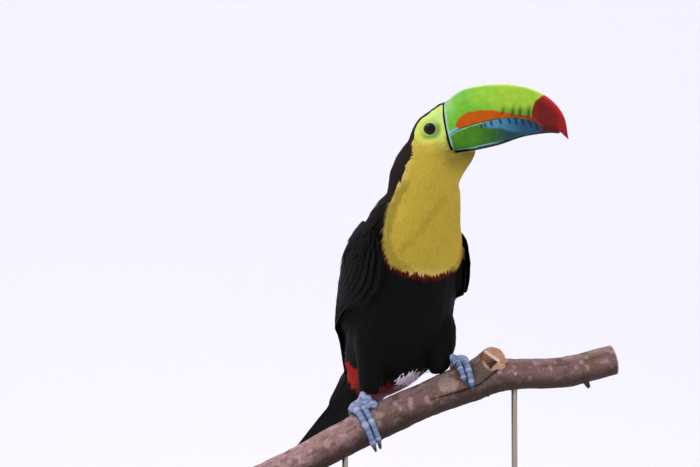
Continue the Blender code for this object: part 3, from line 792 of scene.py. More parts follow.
# How wide a feather is along its length.
LEAF = ((0, 0.45), (0.3, 0.9), (0.62, 1.0), (0.88, 0.80), (1, 0.25))
LONG_LEAF = ((0, 0.5), (0.12, 0.85), (0.4, 1.0), (0.8, 1.0), (0.93, 0.78), (0.98, 0.45), (1, 0.08))
HAIR = ((0, 0.9), (0.5, 0.8), (1, 0.1))
PATCH = 0.003  # a feather's size on the map
ROOT_DEPTH = 0.0003
PLUMAGE = {"black_plumage": "black", "yellow_plumage": "plumage", "white_plumage": "plumage",
           "red_plumage": "plumage"}


def feathers(line, up, half, thick, colour, place, section, shape):
    """Closed vanes along centre lines (N, K, 3). Each has a half width, a colour and a place on the map."""
    steps = line.shape[1]
    share = np.linspace(0, 1, steps)
    across = unit(np.cross(unit(np.gradient(line, axis=1)), up))
    width = np.interp(share, *zip(*shape))[None, :, None] * half[:, None, None]
    height = np.interp(share, (0, 0.5, 1), (0.7, 1, 0.4))[None, :, None] * thick
    points = (line[:, :, None] + across[:, :, None] * (width * section[:, 0])[..., None]
              + up[:, :, None] * (height * section[:, 1])[..., None])
    # Painted shade: each feather is darker towards its root, where the feathers over it shade it.
    if colour.ndim == 2:
        colour = colour[:, None] * np.interp(share, (0, 0.6, 1), (0.88, 1, 1.02))[None, :, None]
    tint = np.broadcast_to(colour[:, :, None], points.shape)
    spread = np.stack(np.broadcast_arrays(section[:, 0] / 2, share[:, None] - 0.5), axis=-1)
    return points, tint, place[:, None, None] + PATCH * spread[None]


def coat_piece(name, parts, slot):
    """One piece from the results of feathers(), each of which has one shape of mesh."""
    polygons, first = [], 0
    parts = [part for part in parts if len(part[0])]
    for some, *_ in parts:
        polygons += tube_polygons(*some.shape[:3], first)
        first += some[..., 0].size
    points, tints, uvs = (np.vstack([a.reshape(-1, a.shape[-1]) for a in arrays]) for arrays in zip(*parts))
    return make_piece(name, points, polygons, PLUMAGE[slot], slot, tints, uvs, sharp=50)


def lay(roots, normals, flow, length, half, lift, colour, place,
        steps=5, wild=0.10, shape=LEAF, thick=0.00022):
    """Feathers that leave the skin at their roots and follow it along the flow to raised tips."""
    count = len(roots)
    length, half, lift = (np.broadcast_to(a, count) for a in (length, half, lift))
    flow = unit(flow - normals * dot(flow, normals))
    flow = unit(flow + np.cross(normals, flow) * rng.normal(0, wild, (count, 1)))
    length = length * rng.uniform(0.85, 1.15, count)
    lift = lift * rng.uniform(0.85, 1.12, count)
    half = half * rng.uniform(0.85, 1.15, count)
    middle, middle_up = snap(roots + flow * (length * 0.5)[:, None])
    tip, tip_up = snap(roots + flow * length[:, None])
    reach = np.linalg.norm(tip - roots, axis=1) / length
    good = (reach > 0.6) & (reach < 1.25) & (dot(tip_up, normals)[:, 0] > 0.25)
    roots, normals, middle, middle_up, tip, tip_up, half, lift, colour, place = pick(
        good, roots, normals, middle, middle_up, tip, tip_up, half, lift, colour, place)
    start, end = roots - normals * ROOT_DEPTH, tip + tip_up * lift[:, None]
    control = 2 * (middle + middle_up * (lift * 0.7)[:, None]) - (start + end) / 2
    t = np.linspace(0, 1, steps)[None, :, None]
    line = (1 - t) ** 2 * start[:, None] + 2 * t * (1 - t) * control[:, None] + t**2 * end[:, None]
    up = unit(normals[:, None] * (1 - t) + tip_up[:, None] * t)
    colour = colour * rng.normal(1, 0.035, (len(roots), 1)).clip(0.88, 1.12)
    return feathers(line, up, half, thick, colour, place, VANE, shape)


COAT_ROWS = (0.0, 1.5, 3.0, 5.0, 6.0, 8.0, 10.0, 12.4)
COAT_GAP = np.array((2.2, 2.1, 2.3, 2.1, 1.12, 1.05, 1.0, 0.95)) / 1000
COAT_LENGTH = np.array((9, 12, 16, 15, 11.5, 10, 8, 5)) / 1000
COAT_START, COAT_END = 12.4, 0.75  # rows
COAT_RING = 73  # points by which a ring's length is measured
SHOWN = 0.75  # how far along a feather the marking is taken
HEAD_FEATHERS, GOLDEN_TURN = 9000, 2.399963
HEAD_MIDDLE, HEAD_REACH = 0.021, 0.06  # behind the bill's base, and out from there


def flow_at(points, row):
    """The lie of the plumage: down the body, and back and down over the head."""
    _, axis, *_ = body_frame(row)
    head = -HEAD_AHEAD * 0.85 - UP * 0.45
    return mix(-axis, head, step(0.400, 0.425, points[:, 2])[:, None])


def wing_covers(row, angle):
    """Whether a place on the body is hidden by a folded wing."""
    rows, low, high, _ = WING[::-1].T
    lower, upper = np.interp(row, rows, low), np.interp(row, rows, high)
    lower = np.where(angle < 0, mix(lower, upper, WING_BACK[-1]), lower)
    inside = (np.abs(angle) > lower + 5) & (np.abs(angle) < upper - 5)
    return inside & (row < 6.7) & (row > 1.2)


def body_roots():
    """Rows and angles of feather roots over the whole body, in staggered rings."""
    rows, angles, row, odd = [], [], COAT_START, 0
    while row > COAT_END:
        gap = np.interp(row, COAT_ROWS, COAT_GAP)
        loop = body_point(np.full(COAT_RING, row), np.linspace(0, 360, COAT_RING))[0]
        count = int(np.linalg.norm(np.diff(loop, axis=0), axis=1).sum() / gap)
        angles.append((np.arange(count) + odd / 2) / count * 360 - 180)
        rows.append(np.full(count, row))
        pace = np.linalg.norm(between(SPINE, row)[:3] - between(SPINE, row - 0.1)[:3]) / 0.1
        row, odd = row - 0.85 * gap / pace, 1 - odd
    rows, angles = np.concatenate(rows), np.concatenate(angles)
    rows = rows + rng.normal(0, 0.02, len(rows))
    angles = angles + rng.normal(0, 0.7, len(rows))
    return rows.clip(0.02, COAT_START), angles


def rooted(rows, angles):
    """Places on the skin, directions outward, rows, angles and how far off the outline they lie."""
    outside, outward = body_point(rows, angles, CAST)
    roots, normals, met = strike(outside, -outward, 2 * CAST)
    rows, angles, outside = pick(met, rows, angles, outside)
    return roots, normals, rows, angles, np.abs(CAST - np.linalg.norm(roots - outside, axis=1))


def make_body_coat():
    rows, angles = body_roots()
    roots, normals, rows, angles, off = rooted(*pick(~wing_covers(rows, angles), rows, angles))
    ahead, up, _ = head_plane(roots)
    in_bill = (ahead > 0.0005 - 0.22 * up) & (up > np.interp(ahead, *GONYS_LINE) - 0.0006)
    keep = (off < np.interp(rows, (6, 7, 10, 11), (0.008, 0.010, 0.010, 0.015))) & ~in_bill
    keep &= bare_skin(roots) < 0.1
    roots, normals, rows, angles = pick(keep, roots, normals, rows, angles)
    wide = np.abs(angles)
    near_edge = step(0.014, 0.004, np.abs(bib_depth(roots, *chart(roots)) - 0.004))
    length = np.interp(rows, COAT_ROWS, COAT_LENGTH) * mix(1, 0.62, near_edge)
    length = np.where((rows < 2.6) & ((wide > 95) | (rows < 2.2)), np.minimum(length, 0.0095), length)
    half = np.interp(rows, COAT_ROWS, COAT_GAP) * 0.66
    lift = coat_depth(roots) * np.interp(rows, (0, 1.5, 2.2, 5, 7), (0.35, 0.5, 0.75, 0.75, 0.62))
    place = np.stack([angles / 360 + 0.5, rows / 12.5], axis=-1) * 0.98 + 0.01
    flow = flow_at(roots, rows)
    shown = roots + unit(flow) * (length * SHOWN)[:, None]
    colour = markings(shown)
    yellow, low = bib_depth(shown, *chart(shown)) > 0, rows < 1.95

    def coat(name, mask, slot, steps=5, wild=0.09):
        laid = lay(*pick(mask, roots, normals, flow, length, half, lift, colour, place), steps, wild)
        coat_piece(f"coat_{name}", [laid], slot)

    for name, mask, slot, middle in (
        ("throat", yellow & (rows > 9.0), "yellow_plumage", 0),
        ("bib", yellow & (rows <= 9.0), "yellow_plumage", -10),
        ("nape", ~yellow & (rows > 7.0), "black_plumage", 0),
    ):
        coat(f"{name}_left", mask & (angles > middle), slot, 4, 0.07)
        coat(f"{name}_right", mask & (angles <= middle), slot, 4, 0.07)
    dark = ~yellow & (rows <= 7.0)
    coat("mantle", dark & (wide > 90) & ~low, "black_plumage")
    coat("breast", dark & (rows > 4) & (wide <= 90), "black_plumage")
    coat("belly", dark & (rows <= 4) & (wide <= 90) & ~low, "black_plumage")
    coat("rump", low & (wide >= 100), "white_plumage")
    coat("undertail", low & (wide < 100), "red_plumage")


def make_head_coat():
    order = np.arange(HEAD_FEATHERS) + 0.5
    height, turn = 1 - 2 * order / HEAD_FEATHERS, order * GOLDEN_TURN
    ring = np.sqrt(1 - height**2)
    ways = head_way(ring * np.cos(turn), height, ring * np.sin(turn))
    middle = BILL_BASE - HEAD_AHEAD * HEAD_MIDDLE
    roots, normals, met = strike(middle + ways * HEAD_REACH, -ways, HEAD_REACH)
    ahead, up, _ = head_plane(roots)
    keep = (roots[:, 2] > 0.402) & (ahead < -0.0020 - 0.22 * up) & (bare_skin(roots) < 0.08)
    roots, normals, ways, ahead, up = pick(keep, roots, normals, ways[met], ahead, up)
    crown = step(0.014, 0.022, up) * step(-0.036, -0.026, ahead)
    length = np.interp(ahead, (-0.03, -0.012, -0.002), (0.0060, 0.0044, 0.0024)) * (1 - 0.45 * crown)
    half = np.interp(length, (0.002, 0.006), (0.00050, 0.00080))
    place = np.stack([np.arctan2(ways @ HEAD_LEFT, ways @ HEAD_AHEAD) / 6.4 + 0.5,
                      np.arcsin(np.clip(ways @ UP, -1, 1)) / 3.3 + 0.5], axis=-1)
    flow = flow_at(roots, chart(roots)[0])
    shown = markings(roots + unit(flow) * (length * SHOWN)[:, None], legs=False)
    laid = lay(roots, normals, flow, length, half, 0.00045 - 0.00040 * crown, shown, place,
               wild=0.06, thick=0.00010)
    coat_piece("coat_head", [laid], "yellow_plumage")


def make_thigh_coats():
    for side, name in SIDES.items():
        rows = LEGS[side]
        index, turn = (a.ravel() for a in np.meshgrid(np.linspace(0.1, 4, 38), np.arange(0, 360, 7.5)))
        index = index + rng.normal(0, 0.03, len(index))
        turn = np.radians(turn + 3.75 * (np.arange(len(turn)) % 2) + rng.normal(0, 2, len(turn)))
        here = between(rows, index)
        outward = np.stack([np.cos(turn), np.sin(turn), 0 * turn], axis=-1)
        roots, normals, met = strike(here[:, :3] + outward * (here[:, 3:] + 0.02), -outward, 0.05)
        index, here, turn = pick(met, index, here, turn)
        off = np.abs(np.linalg.norm(roots[:, :2] - here[:, :2], axis=1) - here[:, 3])
        keep = (off < 0.006) & (leg_distance(roots) < 0.005)
        roots, normals, index, turn = pick(keep, roots, normals, index, turn)
        flow = between(rows, index + 0.1)[:, :3] - between(rows, index - 0.1)[:, :3]
        place = np.stack([turn / 6.4 + 0.01, index / 4.2 + 0.01], axis=-1)
        laid = lay(roots, normals, flow, 0.011, 0.0017, 0.0018, plain(INK, len(roots)), place)
        coat_piece(f"coat_thigh_{name}", [laid], "black_plumage")


def make_wisps():
    """Loose hair-thin barbs that break the outline of the bib and of the vent."""
    rows, angles = body_roots()
    roots, normals, rows, angles, off = rooted(*pick(rows < 9, rows, angles))
    roots, normals, rows, angles = pick(off < 0.008, roots, normals, rows, angles)

    def wisps(name, chosen, times, stray, length, lift, slot, wild):
        chosen = np.repeat(np.flatnonzero(chosen), times)
        count = len(chosen)
        here, normal, row = pick(chosen, roots, normals, rows)
        jitter = rng.normal(0, stray, (count, 3))
        if slot == "white_plumage":
            colour = painted(FLUFF, (PINK, rng.random(count) ** 3))
        else:
            colour = markings(here) * 1.05
        place = np.column_stack([np.linspace(0.01, 0.98, count), np.full(count, 0.5)])
        laid = lay(here + jitter, normal, flow_at(here, row), length, 0.00022, lift, colour, place,
                   steps=4, wild=wild, shape=HAIR, thick=0.00012)
        coat_piece(f"wisps_{name}", [laid], slot)

    edge = bib_depth(roots, rows, angles)
    fringe = (edge > 0.002) & (edge < 0.008) & (rows > 6.2)
    wisps("bib", fringe, 2, 0.0008, 0.010, 0.0022, "yellow_plumage", 0.2)
    vent = (rows > 2.2) & (rows < 2.95) & (angles > 2) & (angles < 36)
    wisps("vent", vent, 3, 0.0012, 0.007, 0.0020, "white_plumage", 0.30)


# Groups of long wing feathers: how many, index of roots and tips, share of roots and tips for the
# lowest and the uppermost feather, half width, and height over the wing's outline.
WING_GROUPS = (
    (8, (3.4, 3.6), (8.9, 7.7), (0.06, 0.40), (0.22, 0.62), 0.0058, -0.0022),  # primaries
    (11, (3.0, 2.6), (7.5, 6.2), (0.10, 0.92), (0.30, 0.90), 0.0075, -0.0016),  # secondaries
    (13, (2.1, 1.8), (4.2, 3.7), (0.05, 0.95), (0.08, 0.95), 0.0056, -0.0010),  # greater coverts
    (14, (1.3, 1.1), (2.9, 2.6), (0.04, 0.96), (0.05, 0.96), 0.0050, -0.0006),  # median coverts
    (14, (0.8, 0.7), (2.0, 1.9), (0.04, 0.96), (0.04, 0.96), 0.0048, -0.0003),  # lesser coverts
    (12, (0.35, 0.35), (1.3, 1.25), (0.05, 0.95), (0.05, 0.95), 0.0050, -0.0003),  # marginal coverts
    (7, (0.15, 0.15), (0.9, 0.9), (0.1, 0.9), (0.1, 0.9), 0.0050, -0.0004),  # shoulder coverts
)
# Tiers of feathers over a wing's upper edge: first and last row, gap, angles past the edge of root
# and tip, how many rows a feather falls, and half width.
SCAPULARS = (
    (5.6, 3.0, 0.155, 15, -16, 1.5, 0.0050),
    (6.7, 4.2, 0.150, 16, -9, 1.3, 0.0046),
    (7.1, 5.2, 0.140, 16, -2, 1.15, 0.0042),
)


def make_wings():
    t = np.linspace(0, 1, 13)
    for side, name in SIDES.items():
        parts = []
        for number, (count, roots, tips, low, high, half, out) in enumerate(WING_GROUPS):
            order = np.linspace(0, 1, count)[:, None]
            index = mix(mix(*roots, order), mix(*tips, order), t) + rng.normal(0, 0.03, (count, 1)) * t
            share = mix(mix(*low, order), mix(*high, order), t)
            height = out - 0.0007 * (1 - t) + 0.0001 * order + 0 * index
            line, up = wing_point(side, index, share, height)
            beside = unit(wing_point(side, index, share + 0.02, height)[0] - line)
            up = unit(up + beside * 0.06)
            halves = half * rng.uniform(0.95, 1.05, count)
            colour = INK * rng.uniform(1.3, 1.9, (count, 1))
            place = np.column_stack([0.05 + 0.9 * order[:, 0], np.full(count, 0.05 + 0.12 * number)])
            parts.append(feathers(line, up, halves, 0.00035, colour, place, SHAFTED, LONG_LEAF))
        coat_piece(f"wing_feathers_{name}", parts, "black_plumage")


def wing_height(side, row, angle):
    """How high a folded wing stands over the body's outline at a row and an angle from the breast."""
    index = np.interp(row, WING[::-1, 0], np.arange(len(WING))[::-1])
    _, low, high, thick = wing_shape(side, index)
    share = (angle - low) / (high - low)
    return wing_rise(thick, share) * span(share, -0.12, 0.02, 0.97, 1.10) * step(7.3, 6.7, row)


def scapular(side, rows, angles, half, tier):
    """One row of feathers whose centre lines run over these rows and angles of the body."""
    count, steps = rows.shape
    t = np.linspace(0, 1, steps)
    row, angle = rows.ravel(), angles.ravel()
    height = np.maximum.accumulate(wing_height(side, row, angle).reshape(rows.shape), axis=1)
    out = height * step(0, 0.35, t) + mix(-0.0020, 0.0006 + 0.0003 * tier, t)
    line, up = (a.reshape(count, steps, 3) for a in body_point(row, side * angle, out.ravel()))
    colour = painted(INK, (NAPE, 0.8 * step(6.5, 8.5, rows[:, -1] + 0.6)))
    colour = colour * rng.uniform(0.9, 1.2, (count, 1))
    place = np.column_stack([angles[:, 0] / 190, rows[:, 0] / 9])
    return feathers(line, up, half * rng.uniform(0.9, 1.1, count), 0.0003, colour, place, SHAFTED, LEAF)


def make_scapulars():
    """Feathers of the shoulders and the mantle that lie over the wings' upper edges."""
    t = np.linspace(0, 1, 9)
    for side, name in SIDES.items():
        parts = []
        for tier, (first, last, gap, start, end, fall, half) in enumerate(SCAPULARS):
            row = np.arange(first, last, -gap)
            row = row + rng.normal(0, 0.03, len(row))
            angles = np.interp(row, WING[::-1, 0], WING[::-1, 2])[:, None] + mix(start, end, t**0.8)
            angles = angles + rng.normal(0, 1.5, (len(row), 1))
            parts.append(scapular(side, row[:, None] - fall * t, angles, half, tier))
        for row in np.arange(7.0, 8.3, 0.16):
            angles = np.arange(np.interp(row, BIB_ROWS, BIB_HALF) + 9, 168, 5.5)
            angles = angles + rng.normal(0, 1, len(angles))
            rows = row + rng.normal(0, 0.06, (len(angles), 1)) - (1.05 - 0.25 * (row - 7)) * t
            parts.append(scapular(side, rows, angles[:, None] + 0 * t, 0.0036, len(SCAPULARS)))
        coat_piece(f"scapulars_{name}", parts[::-1], "black_plumage")


def tail_frame(along):
    """Centre, belly, left and half sizes at distances down the tail, and those past the last row."""
    shaft, root = SPINE[0, :3], SPINE[1, :3]
    covered = np.linalg.norm(shaft - root)
    past = (along - covered)[..., None]
    centre, _, belly, left, halves = body_frame(np.maximum(1 - along / covered, 0))
    return centre + unit(shaft - root) * np.maximum(past, 0), belly, left, halves, past


def make_tail():
    t = np.linspace(0, 1, 16)
    lines, ups, halves = [], [], []
    for pair in range(5):
        for side in (-1, 1):
            aside = side * (pair + 0.5) / 5.4
            centre, belly, left, *_ = tail_frame(0.004 + t * TAIL_LENGTH * (1 - 0.10 * aside**2))
            spread = (TAIL_HALF_WIDTH * (0.90 + 0.30 * t - 0.04 * t**4) - 0.0048) * aside * 1.10
            sink = 0.0035 * aside**2 * t - (0.0014 - 0.00062 * pair + 0.0001 * side)
            lines.append(centre + left * spread[:, None] + belly * sink[:, None])
            ups.append(unit(-belly - left * side * 0.05))
            halves.append(0.0064 - 0.0002 * pair)
    count = len(lines)
    colour = INK * rng.uniform(0.85, 1.15, (count, 1))
    place = np.column_stack([np.linspace(0.05, 0.95, count), np.full(count, 0.5)])
    lines, ups, halves = (np.array(a) for a in (lines, ups, halves))
    vanes = feathers(lines, ups, halves, 0.0006, colour, place, SHAFTED, LONG_LEAF)
    made = coat_piece("tail_feathers", [vanes], "black_plumage")
    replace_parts(made, "tail")


def tail_coverts(way, tier, place_up):
    """One tier over the roots of the tail: way is 1 below it and -1 above it."""
    t = np.linspace(0, 1, 11)
    turn = np.linspace(-82, 82, 11 - tier % 2)[:, None]
    ahead, aside = cos_sin(turn)
    start = -0.012 + 0.008 * tier + rng.normal(0, 0.0015, turn.shape)
    centre, belly, left, halves, past = tail_frame(start + t * (0.026 + 0.016 * ahead[..., 0]))
    depth = mix(halves[..., 1:2] if way > 0 else halves[..., 2:3], 0.0042, step(0, 0.016, past)) * ahead
    width = mix(halves[..., :1], 0.0225, step(-0.010, 0.016, past)) * aside
    up = unit(belly * way * ahead + left * 0.7 * aside)
    rise = mix(-0.0016, 0.0004 + 0.0002 * (3 - tier), t)[None, :, None]
    line = centre + left * width + belly * way * depth + up * rise
    count = len(line)
    colour = INK * rng.uniform(0.9, 1.3, (count, 1))
    if way < 0:
        colour = painted(colour, (SNOW, step(52, 34, np.abs(turn[:, 0])) * (1.0, 0.9, 0, 0)[tier]))
    place = np.column_stack([turn[:, 0] / 400 + 0.5, np.full(count, 0.1 * tier + place_up)])
    return feathers(line, up, np.full(count, 0.0056), 0.0003, colour, place, SHAFTED, LEAF)


def make_tail_coverts():
    for name, way, place_up in (("under_tail_coverts", 1, 0.5), ("upper_tail_coverts", -1, 0.05)):
        coat_piece(name, [tail_coverts(way, tier, place_up) for tier in range(4)], "black_plumage")


# ---- eyes and bill ----


def ball(centre, axes, halves, rings, sides, flip=False):
    """An ellipsoid as rings round its first axis."""
    first, second, third = (np.asarray(a) * h for a, h in zip(axes, halves))
    turn, lift = turns(sides)[None, :, None], np.linspace(0, np.pi, rings + 2)[1:-1, None, None]
    round_it = np.cos(turn) * second + np.sin(turn) * third
    return rings_part(centre + np.cos(lift) * first + np.sin(lift) * round_it, flip)


PUPIL, IRIS = 0.0033, 0.0047  # radii where the pupil and the iris end


def make_eyes():
    for side, name in SIDES.items():
        centre, outward = eye_centre(side), HEAD_LEFT * side
        points, polygons = ball(centre, (outward, HEAD_AHEAD, UP), (EYE_RADIUS,) * 3, 48, 64, side < 0)
        rel = points - centre
        gaze = unit(outward + 0.30 * HEAD_AHEAD)
        away = np.linalg.norm(rel - np.outer(rel @ gaze, gaze), axis=1)
        streak = noise(unit(rel) * 3, 0.4) * 0.25 + 1
        colour = painted(
            srgb(31, 22, 17) * streak[:, None],
            (srgb(7, 6, 6), step(PUPIL, 0.0029, away)),
            (srgb(18, 15, 14), step(IRIS, 0.0051, away)),
        )
        made = make_piece(f"eyeball_{name}", points, polygons, "eye", "eye", colour)
        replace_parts(made, f"eye_{name}")


MM = 0.001
# The orange flash's upper edge and the lower half's blue from below: ahead and up. The red tip's
# start: up and ahead.
FLASH_TOP = np.array((
    (8.0, -9), (8.2, -1), (9.2, 4), (11.5, 8.2), (15, 11.4), (19, 13.8), (25, 15.5), (35, 16.6),
    (48, 15.8), (58, 14.0), (68, 11.8), (77, 10.5), (85.5, 9.2), (94, 6),
)) * MM
BLUE_FLOOR = np.array(((32, 3), (39, -0.9), (53, -1.3), (65.5, -4.8), (85, -7.7), (95, -6.6))) * MM
RED_START = np.array((
    (-6, 98), (-0.3, 96), (4.8, 90), (9.9, 84.5), (17.3, 84.8), (24, 87), (29, 92.5), (36, 99),
)) * MM
BILL_RINGS, BILL_SIDE = 340, 60
UPPER_STROKES = np.array((56.5, 66.0, 73.0, 81.5)) * MM
LOWER_STROKES = np.array((34.5, 38.5, 45.5, 54.5, 63.5, 70.0, 76.5, 83.0, 88.0)) * MM


def marks(along, up, places, height, slant, width):
    """Dark strokes across the bill at some distances along it, slanting forward as they go down."""
    least = np.abs(along[:, None] - places - (height - up[:, None]) * slant).min(axis=1)
    return step(width, width * 0.1, least)


def over(colour, new, share):
    """New colours laid over others, only where their share is above 0."""
    return np.where(share[:, None] > 0, painted(colour, (new, share)), colour)


def upper_bill(points, along, up, left):
    """Green with a pale ridge, the orange flash, dark strokes and the deep red tip with a painted highlight
    along its ridge.
    """
    culmen, tomium = np.interp(along, *CULMEN_LINE), np.interp(along, *TOMIUM_LINE)
    base, from_top, from_edge = along + BASE_LEAN * up, culmen - up, up - tomium
    colour = painted(
        srgb(104, 180, 44),
        (srgb(150, 196, 50), step(0.012, 0.036, along) * step(0.014, 0.030, up)),
        (srgb(164, 206, 132), step(0.018, 0.002, base) * step(0.006, 0.026, up) * 0.9),
        (srgb(128, 196, 62), cloud(points * (0.4, 0.4, 1.2), 0.012, 6) * 0.6),
        (srgb(160, 196, 56), 0.7 * step(0.036, 0.055, along) * step(0.010, 0.020, up)),
        (srgb(214, 226, 118), step(0.0030, 0.0008, from_top) * step(0.012, 0.024, along) * 0.8),
        (srgb(196, 224, 186), step(0.0045, 0.001, from_top) * step(0.016, 0.004, along) * 0.7),
    )
    top = np.interp(along, *FLASH_TOP.T, left=-1)
    flash = step(-0.0010, 0.0008, top - up) * span(along, 0.0076, 0.0090, 0.088, 0.097)
    flash = flash * step(-0.0005, 0.0006, from_edge - 0.0004 - 0.004 * step(0.014, 0.008, along))
    orange = painted(
        srgb(196, 94, 0),
        (srgb(180, 76, 0), cloud(points, 0.006, 7)),
        (srgb(148, 62, 18), step(0.050, 0.078, along)),
    )
    gape = step(0.0150, 0.0115, along) * step(0.0052, 0.0030, from_edge) * step(0.0008, 0.003, base)
    dim = span(along, 0.052, 0.060, 0.086, 0.093) * step(0.021, 0.013, up)
    strokes = marks(along, up, UPPER_STROKES, 0.015, -0.08, 0.0030)
    strokes = strokes * (step(0.0235, 0.0125, up) * step(-0.0040, 0.0, up - top))
    colour = painted(
        over(colour, orange, flash),
        (srgb(128, 176, 200), gape * (1 - flash) * 0.95),
        (srgb(92, 116, 34), dim * (1 - flash) * 0.5),
        (srgb(44, 60, 20), strokes * 0.8),
        (srgb(128, 46, 26), step(0.076, 0.086, along) * step(0.0105, 0.0080, up)),
    )
    deep = painted(
        srgb(178, 26, 36),
        (srgb(108, 22, 22), step(0.003, 0.010, from_top) * step(0.1145, 0.104, along)),
        (srgb(122, 32, 28), 0.4 + 0.4 * noise(points, 0.004, 9)),
        # painted highlight along the ridge of the red tip
        (srgb(196, 44, 48), step(0.0042, 0.0012, from_top) * 0.9),
        (srgb(70, 20, 18), step(0.0040, 0.0008, from_edge) * 0.6),
    )
    colour = over(colour, deep, step(-0.0008, 0.0010, along - np.interp(up, *RED_START.T)))
    nostril = np.hypot((along + 0.0030) / 0.0022, (np.abs(left) - 0.0062) / 0.0011)
    return painted(
        colour,
        (srgb(14, 20, 10), step(1.1, 0.8, nostril) * (up > 0.02)),
        (srgb(30, 44, 24), step(0.0008, 0.0002, from_edge - 0.0004) * step(0.100, 0.030, along) * 0.8),
    )


def lower_bill(points, along, up):
    """Green that turns to blue with dark strokes, a red tip and a dark keel."""
    from_edge, from_keel = np.interp(along, *TOMIUM_LINE) - up, up - np.interp(along, *GONYS_LINE)
    colour = painted(
        srgb(74, 136, 26),
        (srgb(58, 112, 22), 0.6 * cloud(points, 0.008, 6)),
        (srgb(54, 100, 34), step(0.026, 0.046, along)),
        (srgb(34, 70, 76), step(0.044, 0.062, along)),
    )
    band = step(-0.0016, 0.0016, up - np.interp(along, *BLUE_FLOOR.T))
    band = band * span(along, 0.031, 0.038, 0.088, 0.098)
    blue = mix(srgb(78, 142, 174), srgb(34, 76, 104), step(0.040, 0.084, along)[:, None])
    teeth = marks(along, up, LOWER_STROKES, 0.002, 0.35, 0.0022)
    keel = mix(0.0017, 0.0010, step(0.030, 0.080, along))
    return painted(
        over(colour, blue, band * 0.95),
        (srgb(18, 32, 44), teeth * step(0.0072, 0.0040, from_edge) * 0.88),
        (srgb(80, 28, 22), step(0.088, 0.097, along)),
        (srgb(132, 180, 190), step(0.0029, 0.0021, from_keel) * step(0.056, 0.040, along) * 0.85),
        (srgb(10, 12, 11), step(keel, keel * 0.6, from_keel) * 0.95),
        (srgb(160, 204, 196), step(0.0012, 0.0005, from_edge - 0.0002) * step(0.046, 0.030, along) * 0.8),
    )


def bill_colour(points, upper):
    wobble = 0.0005 * noise(points, 0.005, 2) + 0.0002 * noise(points, 0.0018, 4)
    along, up, left = head_plane(points)
    along, up = along + wobble, up + wobble
    colour = upper_bill(points, along, up, left) if upper else lower_bill(points, along, up)
    rim = step(0.0026, 0.0014, along + BASE_LEAN * up - 0.0002)
    return painted(colour, (srgb(160, 206, 196), rim * 0.75))


def make_mandible(name, ridge_rows, fullness, last, upper, node, slot):
    """Half of the bill between the cutting edge and its ridge or keel, by ring from base to tip."""
    index = np.linspace(0, last, BILL_RINGS)
    edge, ridge = between(TOMIUM, index), between(ridge_rows, index * 7 / last)
    width = between(BILL_WIDTHS, index)[:, 0]
    width[-1] = min(width[-1], 0.0012)
    along = edge[:, 0]
    saw = np.clip(np.sin(along * 900 + 2 * np.sin(along * 300)), 0, 1) * step(0.034, 0.045, along)
    gap = 0.0002 + 0.0005 * saw * step(0.108, 0.100, along) if upper else -0.0007 + 0 * along
    edge = edge + unit(ridge - edge) * gap[:, None]
    share = np.sin(np.linspace(0, np.pi / 2, BILL_SIDE)) ** 1.15
    place = edge[:, None] + (ridge - edge)[:, None] * share[None, :, None]
    tuck = 0.015 if upper else 0.10
    out = width[:, None] * np.sqrt(np.clip(1 - share**fullness, 0, 1)) * (1 - tuck * np.exp(-share / 0.03))
    out = out + 0.0003 * np.exp(-index[:, None] / 0.06) * (share < 0.999)
    place = np.concatenate([place, place[:, -2::-1]], axis=1)
    out = np.concatenate([out, -out[:, -2::-1]], axis=1)
    points, polygons = rings_part(BILL_BASE + head_way(place[..., 0], place[..., 1], out), not upper)
    colour = bill_colour(points, upper)
    made = make_piece(name, points, polygons, "bill", slot, colour, sharp=50)
    made.data.materials.append(MATERIALS["black"])
    dull = (colour.max(axis=1) < 0.03) & (not upper)
    made.data.polygons.foreach_set("material_index", [int(dull[f.vertices[0]]) for f in made.data.polygons])
    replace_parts(made, node)


def base_outline():
    """The outline of the bill's base, from the culmen round by its left side: ahead, up and out."""
    share = np.sin(np.linspace(0, np.pi / 2, 40))
    above = mix(TOMIUM[0], CULMEN[0], share[::-1, None])
    below = mix(TOMIUM[0], GONYS[0], share[1:, None])
    out = np.concatenate([np.sqrt(1 - share[::-1] ** 2.4), np.sqrt(1 - share[1:] ** 3.0)]) * BILL_WIDTHS[0, 0]
    half = np.column_stack([np.vstack([above, below]), out])
    return np.vstack([half, (half * (1, 1, -1))[-2:0:-1]])


def make_band():
    """The black rim between the face and the bill, round the bill's base."""
    count, sides = 180, 12
    core = BILL_BASE + head_way(*base_outline().T)
    spacing = np.linalg.norm(np.roll(core, -1, 0) - core, axis=1)
    at = np.linspace(0, spacing.sum(), count, endpoint=False)
    core = np.stack([np.interp(at, np.append(0, np.cumsum(spacing)), np.append(core[:, k], core[0, k]))
                     for k in range(3)], axis=-1)
    back = unit(HEAD_AHEAD + UP * 0.2)
    outward = unit(np.cross(unit(np.roll(core, -1, 0) - np.roll(core, 1, 0)), back))
    outward = (outward * np.sign(dot(outward, core - core.mean(axis=0))))[:, None]
    size = mix(0.0009, 0.0012, step(0.0, -0.020, head_plane(core)[1]))[:, None, None]
    turn = turns(sides)[None, :, None]
    points = (core[:, None] + outward * 0.0004 - back * 0.0006
              + np.cos(turn) * outward * 0.0007 + np.sin(turn) * back * size)
    grid = np.arange(count)[:, None] * sides + np.arange(sides)
    following, beside = np.roll(grid, -1, 0), np.roll(grid, -1, 1)
    quads = np.stack([grid, beside, np.roll(following, -1, 1), following], axis=-1).reshape(-1, 4)
    ink = plain(INK, count * sides)
    made = make_piece("bill_rim", points.reshape(-1, 3), [quads], "black", "bill_black", ink)
    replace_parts(made, "bill_band")


# ---- feet ----

